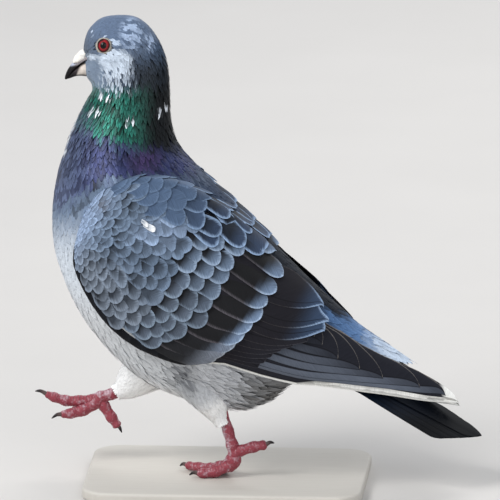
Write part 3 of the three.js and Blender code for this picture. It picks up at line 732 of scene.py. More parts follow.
def plumage(name, barb, streak, shaft=None, **finish_settings):
    """Feather: barbs run out from the shaft at a slant and catch the light as fine streaks, and a fringe
    of another tone follows the edge. Tone, Edge and Rim come with each vane, and its map in mm gives the
    barbs. `barb` is the streaks' spacing in mm and `streak` their strength."""
    made, tree, shader = finish(name, **finish_settings)
    vane = add(tree, "ShaderNodeSeparateXYZ", {0: add(tree, "ShaderNodeUVMap", uv_map="Vane").outputs[0]})
    out = add(tree, "ShaderNodeMath", {0: vane.outputs[0]}, operation="ABSOLUTE").outputs[0]
    slant = weighed(tree, out, -BARB_SLANT, vane.outputs[1])
    grain = add(tree, "ShaderNodeCombineXYZ", {0: slant, 1: vane.outputs[0]}).outputs[0]
    barbs = speckled(tree, 1.0, 2.0, (1 / barb, 0.12 / barb, 1), grain, Roughness=0.6)
    ragged = weighed(tree, barbs, -1.1, carried(tree, "Rim", "Fac"))
    fringe = ranged(tree, ragged, (-0.55, 0.55), 1.0, 0.0, interpolation_type="SMOOTHSTEP")
    colour = tinted(tree, fringe, carried(tree, "Tone"), carried(tree, "Edge"))
    if shaft:
        colour = tinted(tree, ranged(tree, out, (0.15, 0.4), 0.7, 0.0), colour, rgba(shaft))
    shade = ranged(tree, barbs, (0.25, 0.75), 1 - streak, 1 + streak)
    dress(tree, shader, dimmed(tree, colour, shade), barbs, 0.35, 0.00025)
    return made


def under_wing(points):
    """True for places that the folded wing hides, well inside its outline seen from the side."""
    rows = WING[1:9]
    middle = (rows[:, 1:3] + rows[:, 4:6]) / 2
    outline = np.concatenate([rows[:, 1:3], rows[::-1, 4:6]])
    centre = np.concatenate([middle, middle[::-1]])
    away = centre - outline
    outline = outline + away / np.linalg.norm(away, axis=1, keepdims=True) * WING_COVERS
    y, z = points[:, 1, None], points[:, 2, None]
    y0, z0 = outline.T
    y1, z1 = np.roll(outline, -1, 0).T
    crossed = ((z0 > z) != (z1 > z)) & (y < (y1 - y0) * (z - z0) / np.where(z1 == z0, 1, z1 - z0) + y0)
    return (crossed.sum(1) % 2 == 1) & (np.abs(points[:, 0]) > WING_CLEAR)


def sized(sizes, u):
    """A size that varies along the body, at stations u."""
    return np.interp(u, STATION, sizes)


def coat(u, v, share, columns, crown, seed):
    """The contour feathers rooted at (u, v), coloured by where their tips lie."""
    draw = np.random.default_rng(seed)
    luck = draw.random((5, len(u)))
    long = sized(COAT_LONG, u) * (0.85 + 0.3 * luck[0])
    half = sized(COAT_HALF, u) * (0.8 + 0.4 * luck[1])
    sink = sized(COAT_SINK, u)
    path = walk(body_form, u, v, long, (luck[2] - 0.5) * np.interp(u, *STRAY), share)
    below = np.cos(v) < -0.2
    lift = (luck[3] - 0.6) * 0.3 * sink + luck[3] * np.interp(u, *LOOSE) * below
    height = -sink[:, None] * (1 - share ** 0.75) + lift[:, None] * share
    part = vanes(body_form, *path, share, long, half, vane_shape(share, sized(COAT_TIP, u)), height, columns,
                 crown=crown, thick=0.06 + 0.02 * half.mean())
    tone = markings(part["points"][:, -2, columns // 2], luck[4])
    # The roots are darker: partly their grey down, partly painted shade under the feathers that lie over
    # them.
    down_and_shade = sized(COAT_DOWN_AND_SHADE, u)[:, None] + (1 - sized(COAT_DOWN_AND_SHADE, u))[:, None] * soft(share, 0.35, 0.85)
    part["tone"] = tone[:, None, None] * down_and_shade[..., None, None]
    part["edge"] = (tone * 1.12 + 0.008)[:, None, None]
    part["fringe"] = np.full(len(u), 0.5)
    part["root"] = np.stack([v / (2 * np.pi) % 1, u / 20], 1) * 0.99 + 0.005
    part["patch"] = PATCH
    return part


def clear_of_face(u, v):
    """Which roots keep their feather off the eye's bare ring, the bill and what the wing hides."""
    long = sized(COAT_LONG, u)
    line = walk(body_form, u, v, long, 0 * u, np.array([0, 0.5, 1.0]))
    place = body_form(*line)
    nearer = np.stack([np.abs(place[..., 0]), place[..., 1], place[..., 2]], -1) - LID_MIDDLE
    return (np.linalg.norm(nearer, axis=-1) > LID_REACH).all(1) & ~under_wing(place[:, 0]) & (u > 0.1)


u, v = scattered(body_form, (0.05, BODY_END), (0, 2 * np.pi), lambda u: sized(COAT_APART, u), seed=3)
keep = clear_of_face(u, v)
u, v = u[keep], v[keep]
short = np.sin(np.linspace(0, 1, 5) * np.pi / 2)
# Short head feathers scatter light like velvet. Neck feathers are smooth and layered, and shine like silk.
# Those of the trunk are loose and matt, and only their barbs catch the light.
velvet = plumage("slate feather, short and matt", barb=0.5, streak=0.10, Roughness=0.8, Sheen_Weight=0.2)
silk = plumage("iridescent feather", barb=0.6, streak=0.30, Roughness=0.4, Metallic=0.35,
               Specular_IOR_Level=0.25)
vane = plumage("grey contour feather", barb=0.7, streak=0.16, Roughness=0.8, Sheen_Weight=0.05,
               Specular_IOR_Level=0.2)
behind = np.cos(v) > 0.3
head, neck, trunk = u < NECK_FROM, (u >= NECK_FROM) & (u < TRUNK_FROM), u >= TRUNK_FROM
for name, rooted, columns, crown, seed, made, slot in [
        ("coat_head", head, 3, 0.08, 9, velvet, "head_plumage"),
        ("coat_neck", neck, 3, 0.14, 9, silk, "neck_plumage"),
        ("coat_back", trunk & behind, 5, 0.06, 9, vane, "body_plumage"),
        ("coat_breast", trunk & (u < BELLY_FROM) & ~behind, 3, 0.06, 11, vane, "body_plumage"),
        ("coat_belly", trunk & (u >= BELLY_FROM) & ~behind, 3, 0.06, 10, vane, "body_plumage")]:
    part = coat(u[rooted], v[rooted], short, columns, crown, seed)
    new_piece(name, coat_mesh(name, [part], seed=5), made, slot)

# ------------------------------------------------------------------ wing coverts and scapulars
# Small feathers in rows roof the folded wing like shingles: each row overlaps the next one back, and in a
# row each feather overlaps the one below it. Every feather is pale at its rim and dark where it is covered,
# which is partly its own dark root and partly painted shade under the feathers over it.
ROW_LONG = 20.0                      # a row of WING is about this long
LESSER_TIPS = 0.2 + 3.62 * (np.arange(20) / 19) ** 1.4               # u of each row, close at the wrist
LESSER_PITCH = ([0.3, 1, 2, 3, 4], [3.0, 3.9, 5.6, 7.4, 8.6])        # u, and the spacing along a row
LESSER_TOP = ([0, 1.5, 3.3, 4.3], [-0.25, -0.12, 0.14, 0.12])        # u, and v where the row begins
LESSER_DEPTH = ([0.5, 2.5], [0.9, 1.7])                              # u, and how deep the roots lie
BLOOM = ((44.0, -16.0, 146.0), (12, 16, 8), 0.6)                     # a paler patch on the shoulder
SMUDGE = ((37.0, -49.0, 160.5), (6, 4.2, 4.6), 0.5)                  # a brown one by the wrist
MEDIAN_TIPS = [4.16, 4.52, 4.93]
GREATER_TIPS = [(5.6, -0.05), (6.05, 0.07), (6.12, 0.19), (6.1, 0.31), (6.18, 0.43), (6.12, 0.55),
                (6.1, 0.66), (6.05, 0.76), (5.95, 0.85), (5.84, 0.93)]
GREATER_LONG, GREATER_HALF = 44.0, 7.2
WHITE_COVERTS = [(2.88, 0.3), (2.68, 0.295)]                         # the tips of two white feathers
WHITE_LONG = np.array([7.0, 4.6])
WHITE_HALF = np.array([1.7, 1.2])
SCAPULAR_TIPS = [1.7, 1.95, 2.25, 2.6, 2.95, 3.35, 3.8, 4.3, 4.85, 5.4]
SCAPULAR_PITCH = ([0.9, 3, 5], [5.8, 8.4, 9.6])
SCAPULAR_BOTTOM = ([1.6, 2.6, 3.28, 4.3, 4.85, 5.45], [0.02, 0.15, 0.23, 0.19, 0.13, 0.07])
HAND_TIPS = np.arange(0.8, 5.7, 0.4)
HAND_LINE = 0.985                    # v of their tips
HAND_LONG, HAND_HALF = 22.0, 4.6
FORWARD_SWEEP = 0.95                 # how far, in rows of WING, the hindmost ones bend forward below
WING_TONES = {name: [linear(colour) for colour in colours] for name, colours in {
    # Of the covered base, the end and the fringe. The base's dark is partly the feather's own and partly
    # painted shade under the feathers over it.
    "lesser": ("#161b23", "#58677a"), "low lesser": ("#161b23", "#616a76"),
    "shoulder": ("#8396b0", "#8799b4"), "white": ("#8c97a5", "#f4f6f8", "#f4f6f8"),
    "median": ("#0c0e13", "#64758b", "#8b9db4"), "low median": ("#0c0e13", "#515b69", "#768596"),
    "greater": ("#0f0f12", "#6c7f99", "#a2b6cf"), "low greater": ("#1a1b1f", "#757c88", "#969ca5"),
    "front scapular": ("#3d4e67", "#4c5f79", "#5b6f8a"), "scapular": ("#111720", "#303f57", "#8ba3c2"),
    "hand": ("#121317", "#1d1f24", "#34373d"),
}.items()}
SMUDGE_TONE = linear("#443f3d")
GREATER_SIDE = linear("#4a474c")     # fringe of a greater covert's free web


def row_across(tip, low, high, pitch, phase, seed):
    """Places (u, v) of a row's tips: a pitch in mm, uneven by a fifth, along the wing's line u = tip between
    two v's. The row bends forward near the lower edge, the more so the further back it lies."""
    v = np.linspace(low, high, 200)
    bend = FORWARD_SWEEP * soft(v, 0.62, 1.0) * np.clip(tip / 4.9, 0, 1) ** 1.5
    line = wing_form(tip - bend, v)
    length = np.concatenate([[0], np.cumsum(np.linalg.norm(np.diff(line, axis=0), axis=1))])
    at = np.arange(phase * pitch, length[-1], pitch)
    at = at + (np.random.default_rng(seed).random(len(at)) - 0.5) * 0.4 * pitch
    return tip - np.interp(at, length, bend), np.interp(at, length, v)


def shingles(tip_u, tip_v, long, half, rings, columns, rise, sink, seed, crown=0.07, lean=0.35, loose=0.4,
             stray=0.05):
    """Vanes of the wing ending at given tips with round ends. They rise from `sink` mm under the wing's form
    at the root to `rise` mm over it at the tip, and lean so that each lies over the one below it. `loose`
    varies their lift in mm, and `stray` how far they drift sideways on the wing."""
    long, half = np.broadcast_to(long, len(tip_u)), np.broadcast_to(half, len(tip_u))
    luck = np.random.default_rng(seed).random((4, len(tip_u)))
    share = np.sin(np.linspace(0, 1, rings) * np.pi / 2)
    _, along, _, _ = surface(wing_form, tip_u, tip_v)
    back = 1 - share
    path_u = tip_u[:, None] - back * (long / speed(along))[:, None]
    path_v = tip_v[:, None] - back * ((luck[0] - 0.5) * stray)[:, None]
    height = rise + (luck[1] - 0.4)[:, None] * loose * share - sink * (1 - share ** 0.8)
    shape = vane_shape(share, np.full(len(tip_u), 0.5), root=0.6, widest=1 - np.clip(half / long, 0, 0.5))
    return vanes(wing_form, path_u, path_v, share, long, half, shape, height, columns, lean=lean,
                 crown=crown), luck


def toned(part, base, end, edge, fringe, luck, shown=0.4, side_edge=None, vary=0.24, skew=0.0):
    """Gives vanes a tone that runs from `base` to `end` over the share of the blade that is `shown`, and a
    fringe `fringe` mm wide of the colour `edge`, or of `side_edge` away from the tip. `skew` is how much
    earlier the end tone comes on the free web than on the other."""
    share = soft(part["share"][:, None] + skew * part["w"], 1 - shown, 1 - 0.2 * shown)[..., None]
    vary = (1 - vary / 2 + vary * luck[2])[:, None, None, None]
    side_edge = edge if side_edge is None else side_edge
    base, end, edge, side_edge = (np.reshape(c, (-1, 1, 1, 3)) for c in (base, end, edge, side_edge))
    part["tone"] = (base + (end - base) * share) * vary
    part["edge"] = (side_edge + (edge - side_edge) * share) * vary
    part["fringe"] = fringe if np.ndim(fringe) == 2 else np.broadcast_to(fringe, len(luck[0]))
    return part


def between(first, second, share):
    """Base, end and fringe tones of feathers between two kinds, by a share for each feather."""
    return [mixed(a, b, share) for a, b in zip(WING_TONES[first], WING_TONES[second])]


def in_atlas(parts):
    """Gives each vane of the parts a cell of its own in the atlas of patches."""
    first = 0
    for part in parts:
        count = len(part["points"])
        part["root"] = atlas(count, first)
        part["patch"] = 0.8 / SLOTS ** 0.5
        first += count
    return parts


# Lesser coverts melt into each other near the wrist and above, and further back show painted shade
# between them, in the dark of their covered bases.
lesser = []
for i, tip in enumerate(LESSER_TIPS):
    pitch = np.interp(tip, *LESSER_PITCH)
    step = max(tip - LESSER_TIPS[max(i - 1, 0)], 0.08) * ROW_LONG
    u, v = row_across(tip, np.interp(tip, *LESSER_TOP), 0.93, pitch, (i % 2) * 0.5 + 0.1, seed=300 + i)
    draw = np.random.default_rng(40 + i)
    u = u + (draw.random(len(u)) - 0.5) * 0.5 * step / ROW_LONG
    long = (step * 1.6 + pitch * 1.2) * (0.85 + 0.3 * draw.random(len(u)))
    half = pitch * 0.66 * (0.85 + 0.3 * draw.random(len(u)))
    spiky = float(soft(tip, 1.0, 3.2))
    part, luck = shingles(u, v, long, half, rings=8, columns=7, rise=0.3, sink=np.interp(tip, *LESSER_DEPTH),
                          seed=60 + i, crown=0.04 + 0.05 * spiky, lean=0.12 + 0.2 * spiky,
                          loose=0.3 + 0.2 * spiky, stray=0.12)
    middle = part["points"][:, -2, 3]
    calm = np.maximum(1 - soft(u + 0.5 * v, 0.6, 2.3), 0.5 * spot(middle, *BLOOM))
    calm = np.maximum(calm, 0.8 * (1 - soft(u, 1.4, 2.4)) * (1 - soft(v, -0.05, 0.15)))
    base, end = (mixed(tone, calmer, calm) for tone, calmer in
                 zip(between("lesser", "low lesser", soft(v, 0.5, 0.8)), WING_TONES["shoulder"]))
    edge = end * (1.2 - 0.12 * calm[:, None] + 0.5 * draw.random((len(u), 1)))
    base = mixed(base, end, (0.25 + 0.5 * calm) * luck[3])
    stain = 0.9 * spot(middle, *SMUDGE)
    base, end, edge = (mixed(tone, SMUDGE_TONE, stain) for tone in (base, end, edge))
    lesser.append(toned(part, base, end, edge, pitch * 0.34, luck, shown=1.2 * step / long.mean(), vary=0.4,
                        skew=0.08))
part, luck = shingles(*np.array(WHITE_COVERTS).T, WHITE_LONG, WHITE_HALF, rings=8, columns=7, rise=1.6,
                      sink=0.6, seed=59, crown=0.1)
lesser.append(toned(part, *WING_TONES["white"], 0.4, luck, shown=0.85))

median = []
for i, tip in enumerate(MEDIAN_TIPS):
    pitch = 7.8 + 0.5 * i
    u, v = row_across(tip, 0.12, 0.95, pitch, (i % 2) * 0.5 + 0.15, seed=330 + i)
    draw = np.random.default_rng(90 + i)
    u = u + (draw.random(len(u)) - 0.5) * 0.12
    long = pitch * 2.4 * (0.9 + 0.2 * draw.random(len(u)))
    half = pitch * 0.7 * (0.9 + 0.2 * draw.random(len(u)))
    part, luck = shingles(u, v, long, half, rings=12, columns=9, rise=0.5, sink=2.6, seed=95 + i, loose=0.6)
    tones = between("low median", "median", 1 - soft(v, 0.25, 0.6))
    median.append(toned(part, *tones, 2.3, luck, shown=0.46, skew=0.08))

# Greater coverts are one row of long feathers: black, and dusted with blue-grey over their ends.
tip_u, tip_v = np.array(GREATER_TIPS).T
part, luck = shingles(tip_u, tip_v, GREATER_LONG, GREATER_HALF, rings=16, columns=11, rise=0.1, sink=2.2,
                      seed=120, crown=0.1, lean=0.6, stray=0.03)
low = soft(tip_v, 0.62, 0.85)
pale = 0.16 + 0.08 * luck[3] + 0.26 * low
greater = [toned(part, *between("greater", "low greater", low), 1.8, luck, shown=pale[:, None, None],
                 side_edge=GREATER_SIDE, skew=0.05)]

# The scapulars hang from the shoulder over the wing's upper edge, long and slate with thin pale fringes.
scapular = []
for i, tip in enumerate(SCAPULAR_TIPS):
    pitch = np.interp(tip, *SCAPULAR_PITCH)
    u, v = row_across(tip, -0.2, np.interp(tip, *SCAPULAR_BOTTOM), pitch, (i % 2) * 0.5, seed=350 + i)
    draw = np.random.default_rng(140 + i)
    u = u + (draw.random(len(u)) - 0.5) * 0.2
    long = pitch * 2.4 * (0.9 + 0.2 * draw.random(len(u)))
    half = pitch * 0.72 * (0.88 + 0.24 * draw.random(len(u)))
    late = soft(u, 3.2, 4.4)
    spiky = late.mean()
    part, luck = shingles(u, v, long, half, rings=12, columns=9, rise=1.0, sink=2.1, seed=160 + i,
                          crown=0.03 + 0.04 * spiky, lean=0.12 + 0.2 * spiky, loose=0.3 + 0.3 * spiky)
    base, end, edge = between("front scapular", "scapular", late)
    base = mixed(base, end, 0.5 * luck[3])
    scapular.append(toned(part, base, end, edge, 1.7 + 0.6 * late, luck, shown=0.5))

# Coverts of the hand lie along the lower edge, dark and narrow, and show as a black line. Their
# near-black tone is partly their own and partly painted shade in the gap under the wing's edge.
part, luck = shingles(HAND_TIPS, np.full(len(HAND_TIPS), HAND_LINE), HAND_LONG, HAND_HALF, rings=12,
                      columns=7, rise=-0.4, sink=0.5, seed=180, crown=0.16, lean=0.1, stray=0.01)
hand = [toned(part, *WING_TONES["hand"], 0.4, luck)]

# ------------------------------------------------------------------ flight feathers
# Secondaries and tertials lie over the primaries in the folded wing, each showing the outer web that the
# one above leaves free. Their shafts are stiff, and the outermost primary has a white outer web.
# Rows hold the tip (u, v), v of the free edge before it bends to the tip, u where it begins to bend, and the
# length in mm over which the end closes.
SECONDARIES = [
    (7.78, 0.04, 0.31, 5.7, 10), (8.15, 0.1, 0.46, 6.1, 17), (8.12, 0.21, 0.57, 6.3, 18),
    (7.72, 0.42, 0.67, 6.0, 14), (7.38, 0.54, 0.74, 6.0, 12), (7.14, 0.64, 0.81, 6.0, 10),
    (7.02, 0.74, 0.87, 6.0, 10), (6.95, 0.84, 0.93, 6.0, 10), (6.9, 0.94, 0.98, 6.0, 10),
]
FAR_TERTIAL = (8.9, 0.1, 0.3, 5.7, 20)            # shows over the back, on the right wing only
TERTIALS = 3                                      # how many of the secondaries are tertials
PRIMARIES = [
    (7.3, 0.3, 0.33, 6.5, 10), (7.6, 0.32, 0.36, 6.5, 10), (7.9, 0.33, 0.4, 6.8, 10),
    (8.22, 0.37, 0.47, 7.0, 12), (8.76, 0.46, 0.56, 7.0, 15), (9.37, 0.52, 0.67, 7.0, 19),
    (9.97, 0.58, 0.78, 7.0, 22), (10.98, 0.56, 0.91, 7.2, 17), (11.93, 0.62, 1.0, 7.4, 11),
    (12.98, 1.2, 1.035, 9.6, 10),
]
PRIMARY_GREY = [0, 0, 0, 0.1, 0.3, 0.55, 0.75, 0.95, 1.0, 0]      # how grey each outer web is
SECONDARY_ROOT, PRIMARY_ROOT = 4.4, 5.3                           # u of the roots
SECONDARY_WEB, PRIMARY_WEB = 4.6, 5.2                             # outer webs in mm
TERTIAL_INNER, SECONDARY_INNER, PRIMARY_INNER = 20.0, 13.0, 24.0  # inner webs in mm
TIP_EASE, FAR_TIP_EASE = 2.3, 1.6                                 # how late a free edge turns to the tip
LEADING_WEB = ([8.7, 9.5, 11.5, 12.3, 13], [1.6, 3.5, 3.3, 2.6, 1.0])    # u, and the outermost one's web
TERTIAL_RIM = ([0.6, 0.85, 1.0], [0.45, 1.8, 3.0])                # share of the length, and the fringe
TURNED_IN = 5.0                      # how far in mm the tertials reach over the back
FAR_DROOP = 4.5                      # how much lower the right wing's end rests than the left one's, mm
QUILL_TONES = {name: [linear(colour) for colour in colours] for name, colours in {
    # Of the covered base, the end, the fringe at the tip and the fringe of the sides, if it is another.
    "tertial": ("#1f1e23", "#384860", "#8fa6c4", "#3d3a3c"),
    "secondary": ("#1f1e23", "#232329", "#4b4a50", "#3d3a3c"),
    "far tertial": ("#1d1c20", "#26303c", "#33404f"), "primary": ("#292a31", "#212229", "#7c7772"),
    "tail": ("#101b2b", "#05070c", "#030408"),
}.items()}
WEB_TONES = {name: [linear(colour) for colour in colours] for name, colours in {
    "white": ("#ecebe6", "#dcdcd8"), "grey": ("#626976", "#17181c"),        # of an outer web, and its fringe, a dark line of painted shade at the web's free edge
}.items()}


def blade_form(u, v):
    """A place on the folded wing's outer surface, where v is in mm, down from its lower edge. Past that edge
    the surface goes straight on, and past the upper one it turns in over the back."""
    row = blended(WING, u)
    span = row[..., 3:6] - row[..., 0:3]
    tall = np.linalg.norm(span, axis=-1)
    inner = np.clip(1 + v / tall, 0, 1)
    place = row[..., 0:3] + span * np.maximum(1 + v / tall, 0)[..., None]
    place[..., 0] = row[..., 0] + span[..., 0] * inner - np.maximum(-tall - v, 0)
    place[..., 0] += (row[..., 6] - (row[..., 0] + row[..., 3]) / 2) * (4 * inner * (1 - inner)) ** 0.66
    return place


def wing_height(u):
    """The height of the folded wing in mm between its two edges."""
    row = blended(WING, u)
    return np.linalg.norm(row[..., 3:6] - row[..., 0:3], axis=-1)


web_share = np.sin(np.linspace(0, 1, 28) * np.pi / 2)      # where a flight feather's rings lie


def quill(tip_u, tip_v, edge_v, bend_u, cap, root_u, power, inner_web, outer_web, height, over, top):
    """One stiff flight feather on the folded wing. Its free edge keeps to edge_v up to bend_u and then eases
    over to the tip by a power. inner_web and outer_web are widths in mm, one for all or for each station. The
    inner web stops `over` mm past the wing's line v = top(u), and the end closes over the length `cap`."""
    u = root_u + (tip_u - root_u) * web_share
    free_v = edge_v + (tip_v - edge_v) * np.clip((u - bend_u) / (tip_u - bend_u), 0, 1) ** power
    free = (free_v - 1) * wing_height(u)
    long = np.linalg.norm(np.diff(blade_form(u, free), axis=0), axis=1).sum()
    shape = vane_shape(web_share, np.array([0.5]), root=0.8, widest=1 - cap / long)[0]
    shape = shape / np.maximum(shape.max(), 0.1)
    outer = np.maximum(outer_web * shape, 0.15)
    shaft = free - outer
    room = (1 - top(u)) * wing_height(u) + shaft + over
    inner = np.maximum(np.minimum(inner_web, room) * shape, 0.2)
    height = height * np.clip(wing_height(u) / 24, 0.1, 1)
    return vanes(blade_form, u[None], shaft[None], web_share, np.array([long]), np.array([1.0]), inner[None],
                 height[None], columns=13, outer=(outer / inner)[None, :, None], lean=0.05, crown=0.003,
                 thick=0.2)


def upper_edge(u):
    """The wing's own upper edge, which is the line v = 0."""
    return 0 * u


def under_coverts(u):
    """The line that the primaries reach up to, a little under the upper edge until their own tips bare it."""
    return 0.13 * (1 - soft(u, 7.9, 9.3))


even = np.full((4, 1), 0.5)          # no luck: single feathers keep their tone
secondary = []
for number, row in enumerate(SECONDARIES):
    height = -0.4 - 0.14 * number
    if number < TERTIALS:
        over = TURNED_IN * (1 - soft(row[3] + (row[0] - row[3]) * web_share, 7.2, 8.0))
        part = quill(*row, SECONDARY_ROOT, TIP_EASE, TERTIAL_INNER, SECONDARY_WEB, height, over, upper_edge)
        kind, rim = "tertial", np.interp(web_share, *TERTIAL_RIM)[None]
    else:
        part = quill(*row, SECONDARY_ROOT, TIP_EASE, SECONDARY_INNER, SECONDARY_WEB, height, 0.2, upper_edge)
        kind, rim = "secondary", 0.4
    *tones, side_edge = QUILL_TONES[kind]
    secondary.append(toned(part, *tones, rim, even, shown=0.34, side_edge=side_edge))
far_tertial = quill(*FAR_TERTIAL, SECONDARY_ROOT, FAR_TIP_EASE, SECONDARY_INNER, SECONDARY_WEB, 0.0, 0.0,
                    upper_edge)
far_tertial = toned(far_tertial, *QUILL_TONES["far tertial"], 0.9, even, shown=0.3)

primary = []
for number, row in enumerate(PRIMARIES):
    last = number == len(PRIMARIES) - 1
    along = PRIMARY_ROOT + (row[0] - PRIMARY_ROOT) * web_share
    outer = np.interp(along, *LEADING_WEB) if last else PRIMARY_WEB
    height = -1.9 - 0.16 * number
    part = quill(*row, PRIMARY_ROOT, TIP_EASE, PRIMARY_INNER, outer, height, 0.0, under_coverts)
    part = toned(part, *QUILL_TONES["primary"], 0.5, even, shown=0.9)
    web = soft(part["vane"][..., 0], 0.0, 0.4)
    if last:
        white = np.maximum(web, soft(along, 11.75, 12.0)[None, :, None])
        part["tone"] = mixed(part["tone"], WEB_TONES["white"][0], white)
        part["edge"] = mixed(part["edge"], WEB_TONES["white"][1], white)
    else:
        grey = web * PRIMARY_GREY[number] * (1 - 0.7 * soft(web_share, 0.7, 0.97))[None, :, None]
        part["tone"] = mixed(part["tone"], WEB_TONES["grey"][0], grey)
        # The outer web's fringe is dark: painted shade along its free edge, over the feather below.
        part["edge"] = mixed(part["edge"], WEB_TONES["grey"][1], web)
    primary.append(part)

# Coverts are soft and matt with plain barbs. Flight feathers are zipped tight, so they are smoother and have
# a dark shaft, but take little shine.
down_soft = plumage("covert feather", barb=0.6, streak=0.3, Roughness=0.75, Sheen_Weight=0.05,
                    Specular_IOR_Level=0.2)
close_barbed = plumage("flight feather, stiff and close-barbed", barb=0.7, streak=0.16, shaft="#0f0f12",
                       Roughness=0.7, Specular_IOR_Level=0.08)
for side, mirrored in (("left", False), ("right", True)):
    for name, parts, made, slot, nodes in [
            ("lesser_coverts", lesser, down_soft, "wing_plumage", ()),
            ("median_coverts", median, down_soft, "wing_plumage", ()),
            ("greater_coverts", greater, down_soft, "wing_plumage", ()),
            ("hand_coverts", hand, close_barbed, "wing_plumage", ()),
            ("scapulars", scapular, down_soft, "wing_plumage", ()),
            ("secondaries", secondary + [far_tertial] * mirrored, close_barbed, "flight_feathers",
             (f"wing_{side}_secondaries",)),
            ("primaries", primary, close_barbed, "flight_feathers", (f"wing_{side}_primaries",))]:
        droop = [FAR_DROOP * mirrored * soft(part["points"][..., 1:2], 68, 118) * [0, 0, 1] for part in parts]
        parts = [{**part, "points": part["points"] - low} for part, low in zip(parts, droop)]
        mesh = coat_mesh(f"{side}_{name}", in_atlas(parts), 7, mirrored)
        new_piece(f"{side}_{name}", mesh, made, slot, *nodes)

# ------------------------------------------------------------------ tail
# Twelve broad flight feathers lie stacked in the folded tail, the middle pair on top and each further one
# a little lower and further out. They are navy black, with a paler root.
TAIL_ROOT = np.array([0, 64.0, 73.6])
TAIL_LINE = np.array([0, 85.0, -46.2])
TAIL_HALF = (14.0, 27.0)
TAIL_EDGE_SHORT = 26.0               # how much shorter the edges are than the middle
TAIL_SAG = 4.0                       # how far the edges hang below the middle, mm
TAIL_ROLL = 3.5                      # added to that at the left edge and taken off at the right one
RECTRIX_WEBS = (5.0, 10.0)           # outer and inner web, mm
RECTRIX_STEP = 0.28                  # how far each lies below the one over it
PAIRS = 6


def tail_form(u, v):
    """A place on the tail: u runs from its root to its tip, v from its right edge (-1) to its left (1). Its
    sides are shorter than its middle by a power of v, sag below it by a power of v and are rolled."""
    long = np.linalg.norm(TAIL_LINE)
    along = TAIL_LINE / long
    below = np.array([0, along[2], -along[1]])
    half = TAIL_HALF[0] + (TAIL_HALF[1] - TAIL_HALF[0]) * u
    reach = u * (long - TAIL_EDGE_SHORT * np.abs(v) ** 1.25)
    low = TAIL_SAG * np.abs(v) ** 1.6 + TAIL_ROLL * v
    place = TAIL_ROOT + along * reach[..., None] + below * low[..., None]
    place[..., 0] += half * v
    return place


rectrices = []
outer, inner = RECTRIX_WEBS
share = np.sin(np.linspace(0, 1, 22) * np.pi / 2)
u = 0.02 + 0.975 * share[None]
half = TAIL_HALF[0] + (TAIL_HALF[1] - TAIL_HALF[0]) * u
shape = vane_shape(share, np.array([0.25]), root=0.6, widest=0.96)
for number in range(PAIRS):
    for side, left_web, right_share in ((-1, outer, inner / outer), (1, inner, outer / inner)):
        v = side * ((number + 1) / PAIRS - outer * np.clip(share * 3, 0.3, 1) / half)
        long = np.linalg.norm(np.diff(tail_form(u[0], v[0]), axis=0), axis=1).sum()
        height = np.full(u.shape, -RECTRIX_STEP * number + (0.1 if side > 0 else 0))
        part = vanes(tail_form, u, v, share, np.array([long]), np.array([left_web]), shape, height,
                     columns=11, outer=right_share, crown=0.02, thick=0.2)
        rectrices.append(toned(part, *QUILL_TONES["tail"], 0.4, even, shown=0.7))
mesh = coat_mesh("tail_feathers", in_atlas(rectrices), 9)
new_piece("tail_feathers", mesh, close_barbed, "flight_feathers", "tail")

# ------------------------------------------------------------------ bill
# Two horn-covered halves that meet in a gape line. The upper one has a ridge and hooks over the lower one.
# The horn is dark at the tip, bluish white behind it, and pale again along the root of the lower half.
# Rows hold the upper line (y, z), the lower line (y, z) and the half width. The halves share the gape line.
BILL_UPPER = np.array([
    [-60.5, 235.4, -60.5, 231.8, 5.4],
    [-64.5, 233.4, -64.8, 229.6, 4.0],
    [-68.2, 231.0, -67.6, 227.2, 2.9],
    [-71.2, 228.4, -69.9, 225.0, 2.6],
    [-73.4, 225.2, -71.6, 222.8, 2.3],
    [-74.6, 222.4, -72.9, 221.0, 1.8],
    [-75.2, 219.9, -74.0, 219.6, 0.9],
])
UPPER_RIDGE = 0.28                   # how much narrower the upper half is at its ridge
BILL_LOWER = np.array([
    [-60.5, 232.2, -60.5, 221.2, 6.2],
    [-64.4, 230.0, -64.4, 221.7, 4.0],
    [-67.6, 227.4, -67.5, 221.8, 2.8],
    [-69.9, 225.4, -69.9, 221.3, 2.4],
    [-72.0, 223.2, -71.9, 220.5, 2.0],
    [-74.1, 220.8, -74.0, 219.9, 1.3],
])
LOWER_RIDGE = -0.1                   # the lower half is wider at the gape than below


def bill_form(rows, u, v, ridge):
    """A place on a bill half: u counts rows from the root, v is the angle from the left side over the ridge.
    The section is an oval that narrows by `ridge` upwards, and the last of it closes as a round end."""
    row = blended(rows, u)
    last = len(rows) - 1
    close = np.sqrt(1 - np.clip((u - last + 0.4) / 0.4, 0, 0.98) ** 2)
    middle, reach = (row[..., 0:2] + row[..., 2:4]) / 2, (row[..., 0:2] - row[..., 2:4]) / 2
    side = np.cos(v) * row[..., 4] * close * (1 - ridge * np.sin(v))
    return np.concatenate([side[..., None], middle + reach * (np.sin(v) * close)[..., None]], -1)


def horn(name, roughness, scale, stretch):
    """Horn: grown in thin layers and worn smooth, so it has a dull polish and faint lines along its growth.
    Its tone comes with the mesh."""
    made, tree, shader = finish(name, Roughness=roughness, Specular_IOR_Level=0.2, Coat_Weight=0.05,
                                Coat_Roughness=0.3)
    lines = speckled(tree, scale, 4.0, stretch)
    shade = ranged(tree, lines, (0.3, 0.7), 0.8, 1.2)
    dress(tree, shader, dimmed(tree, carried(tree, "Tone"), shade), lines, 0.3, 0.0002)
    return made


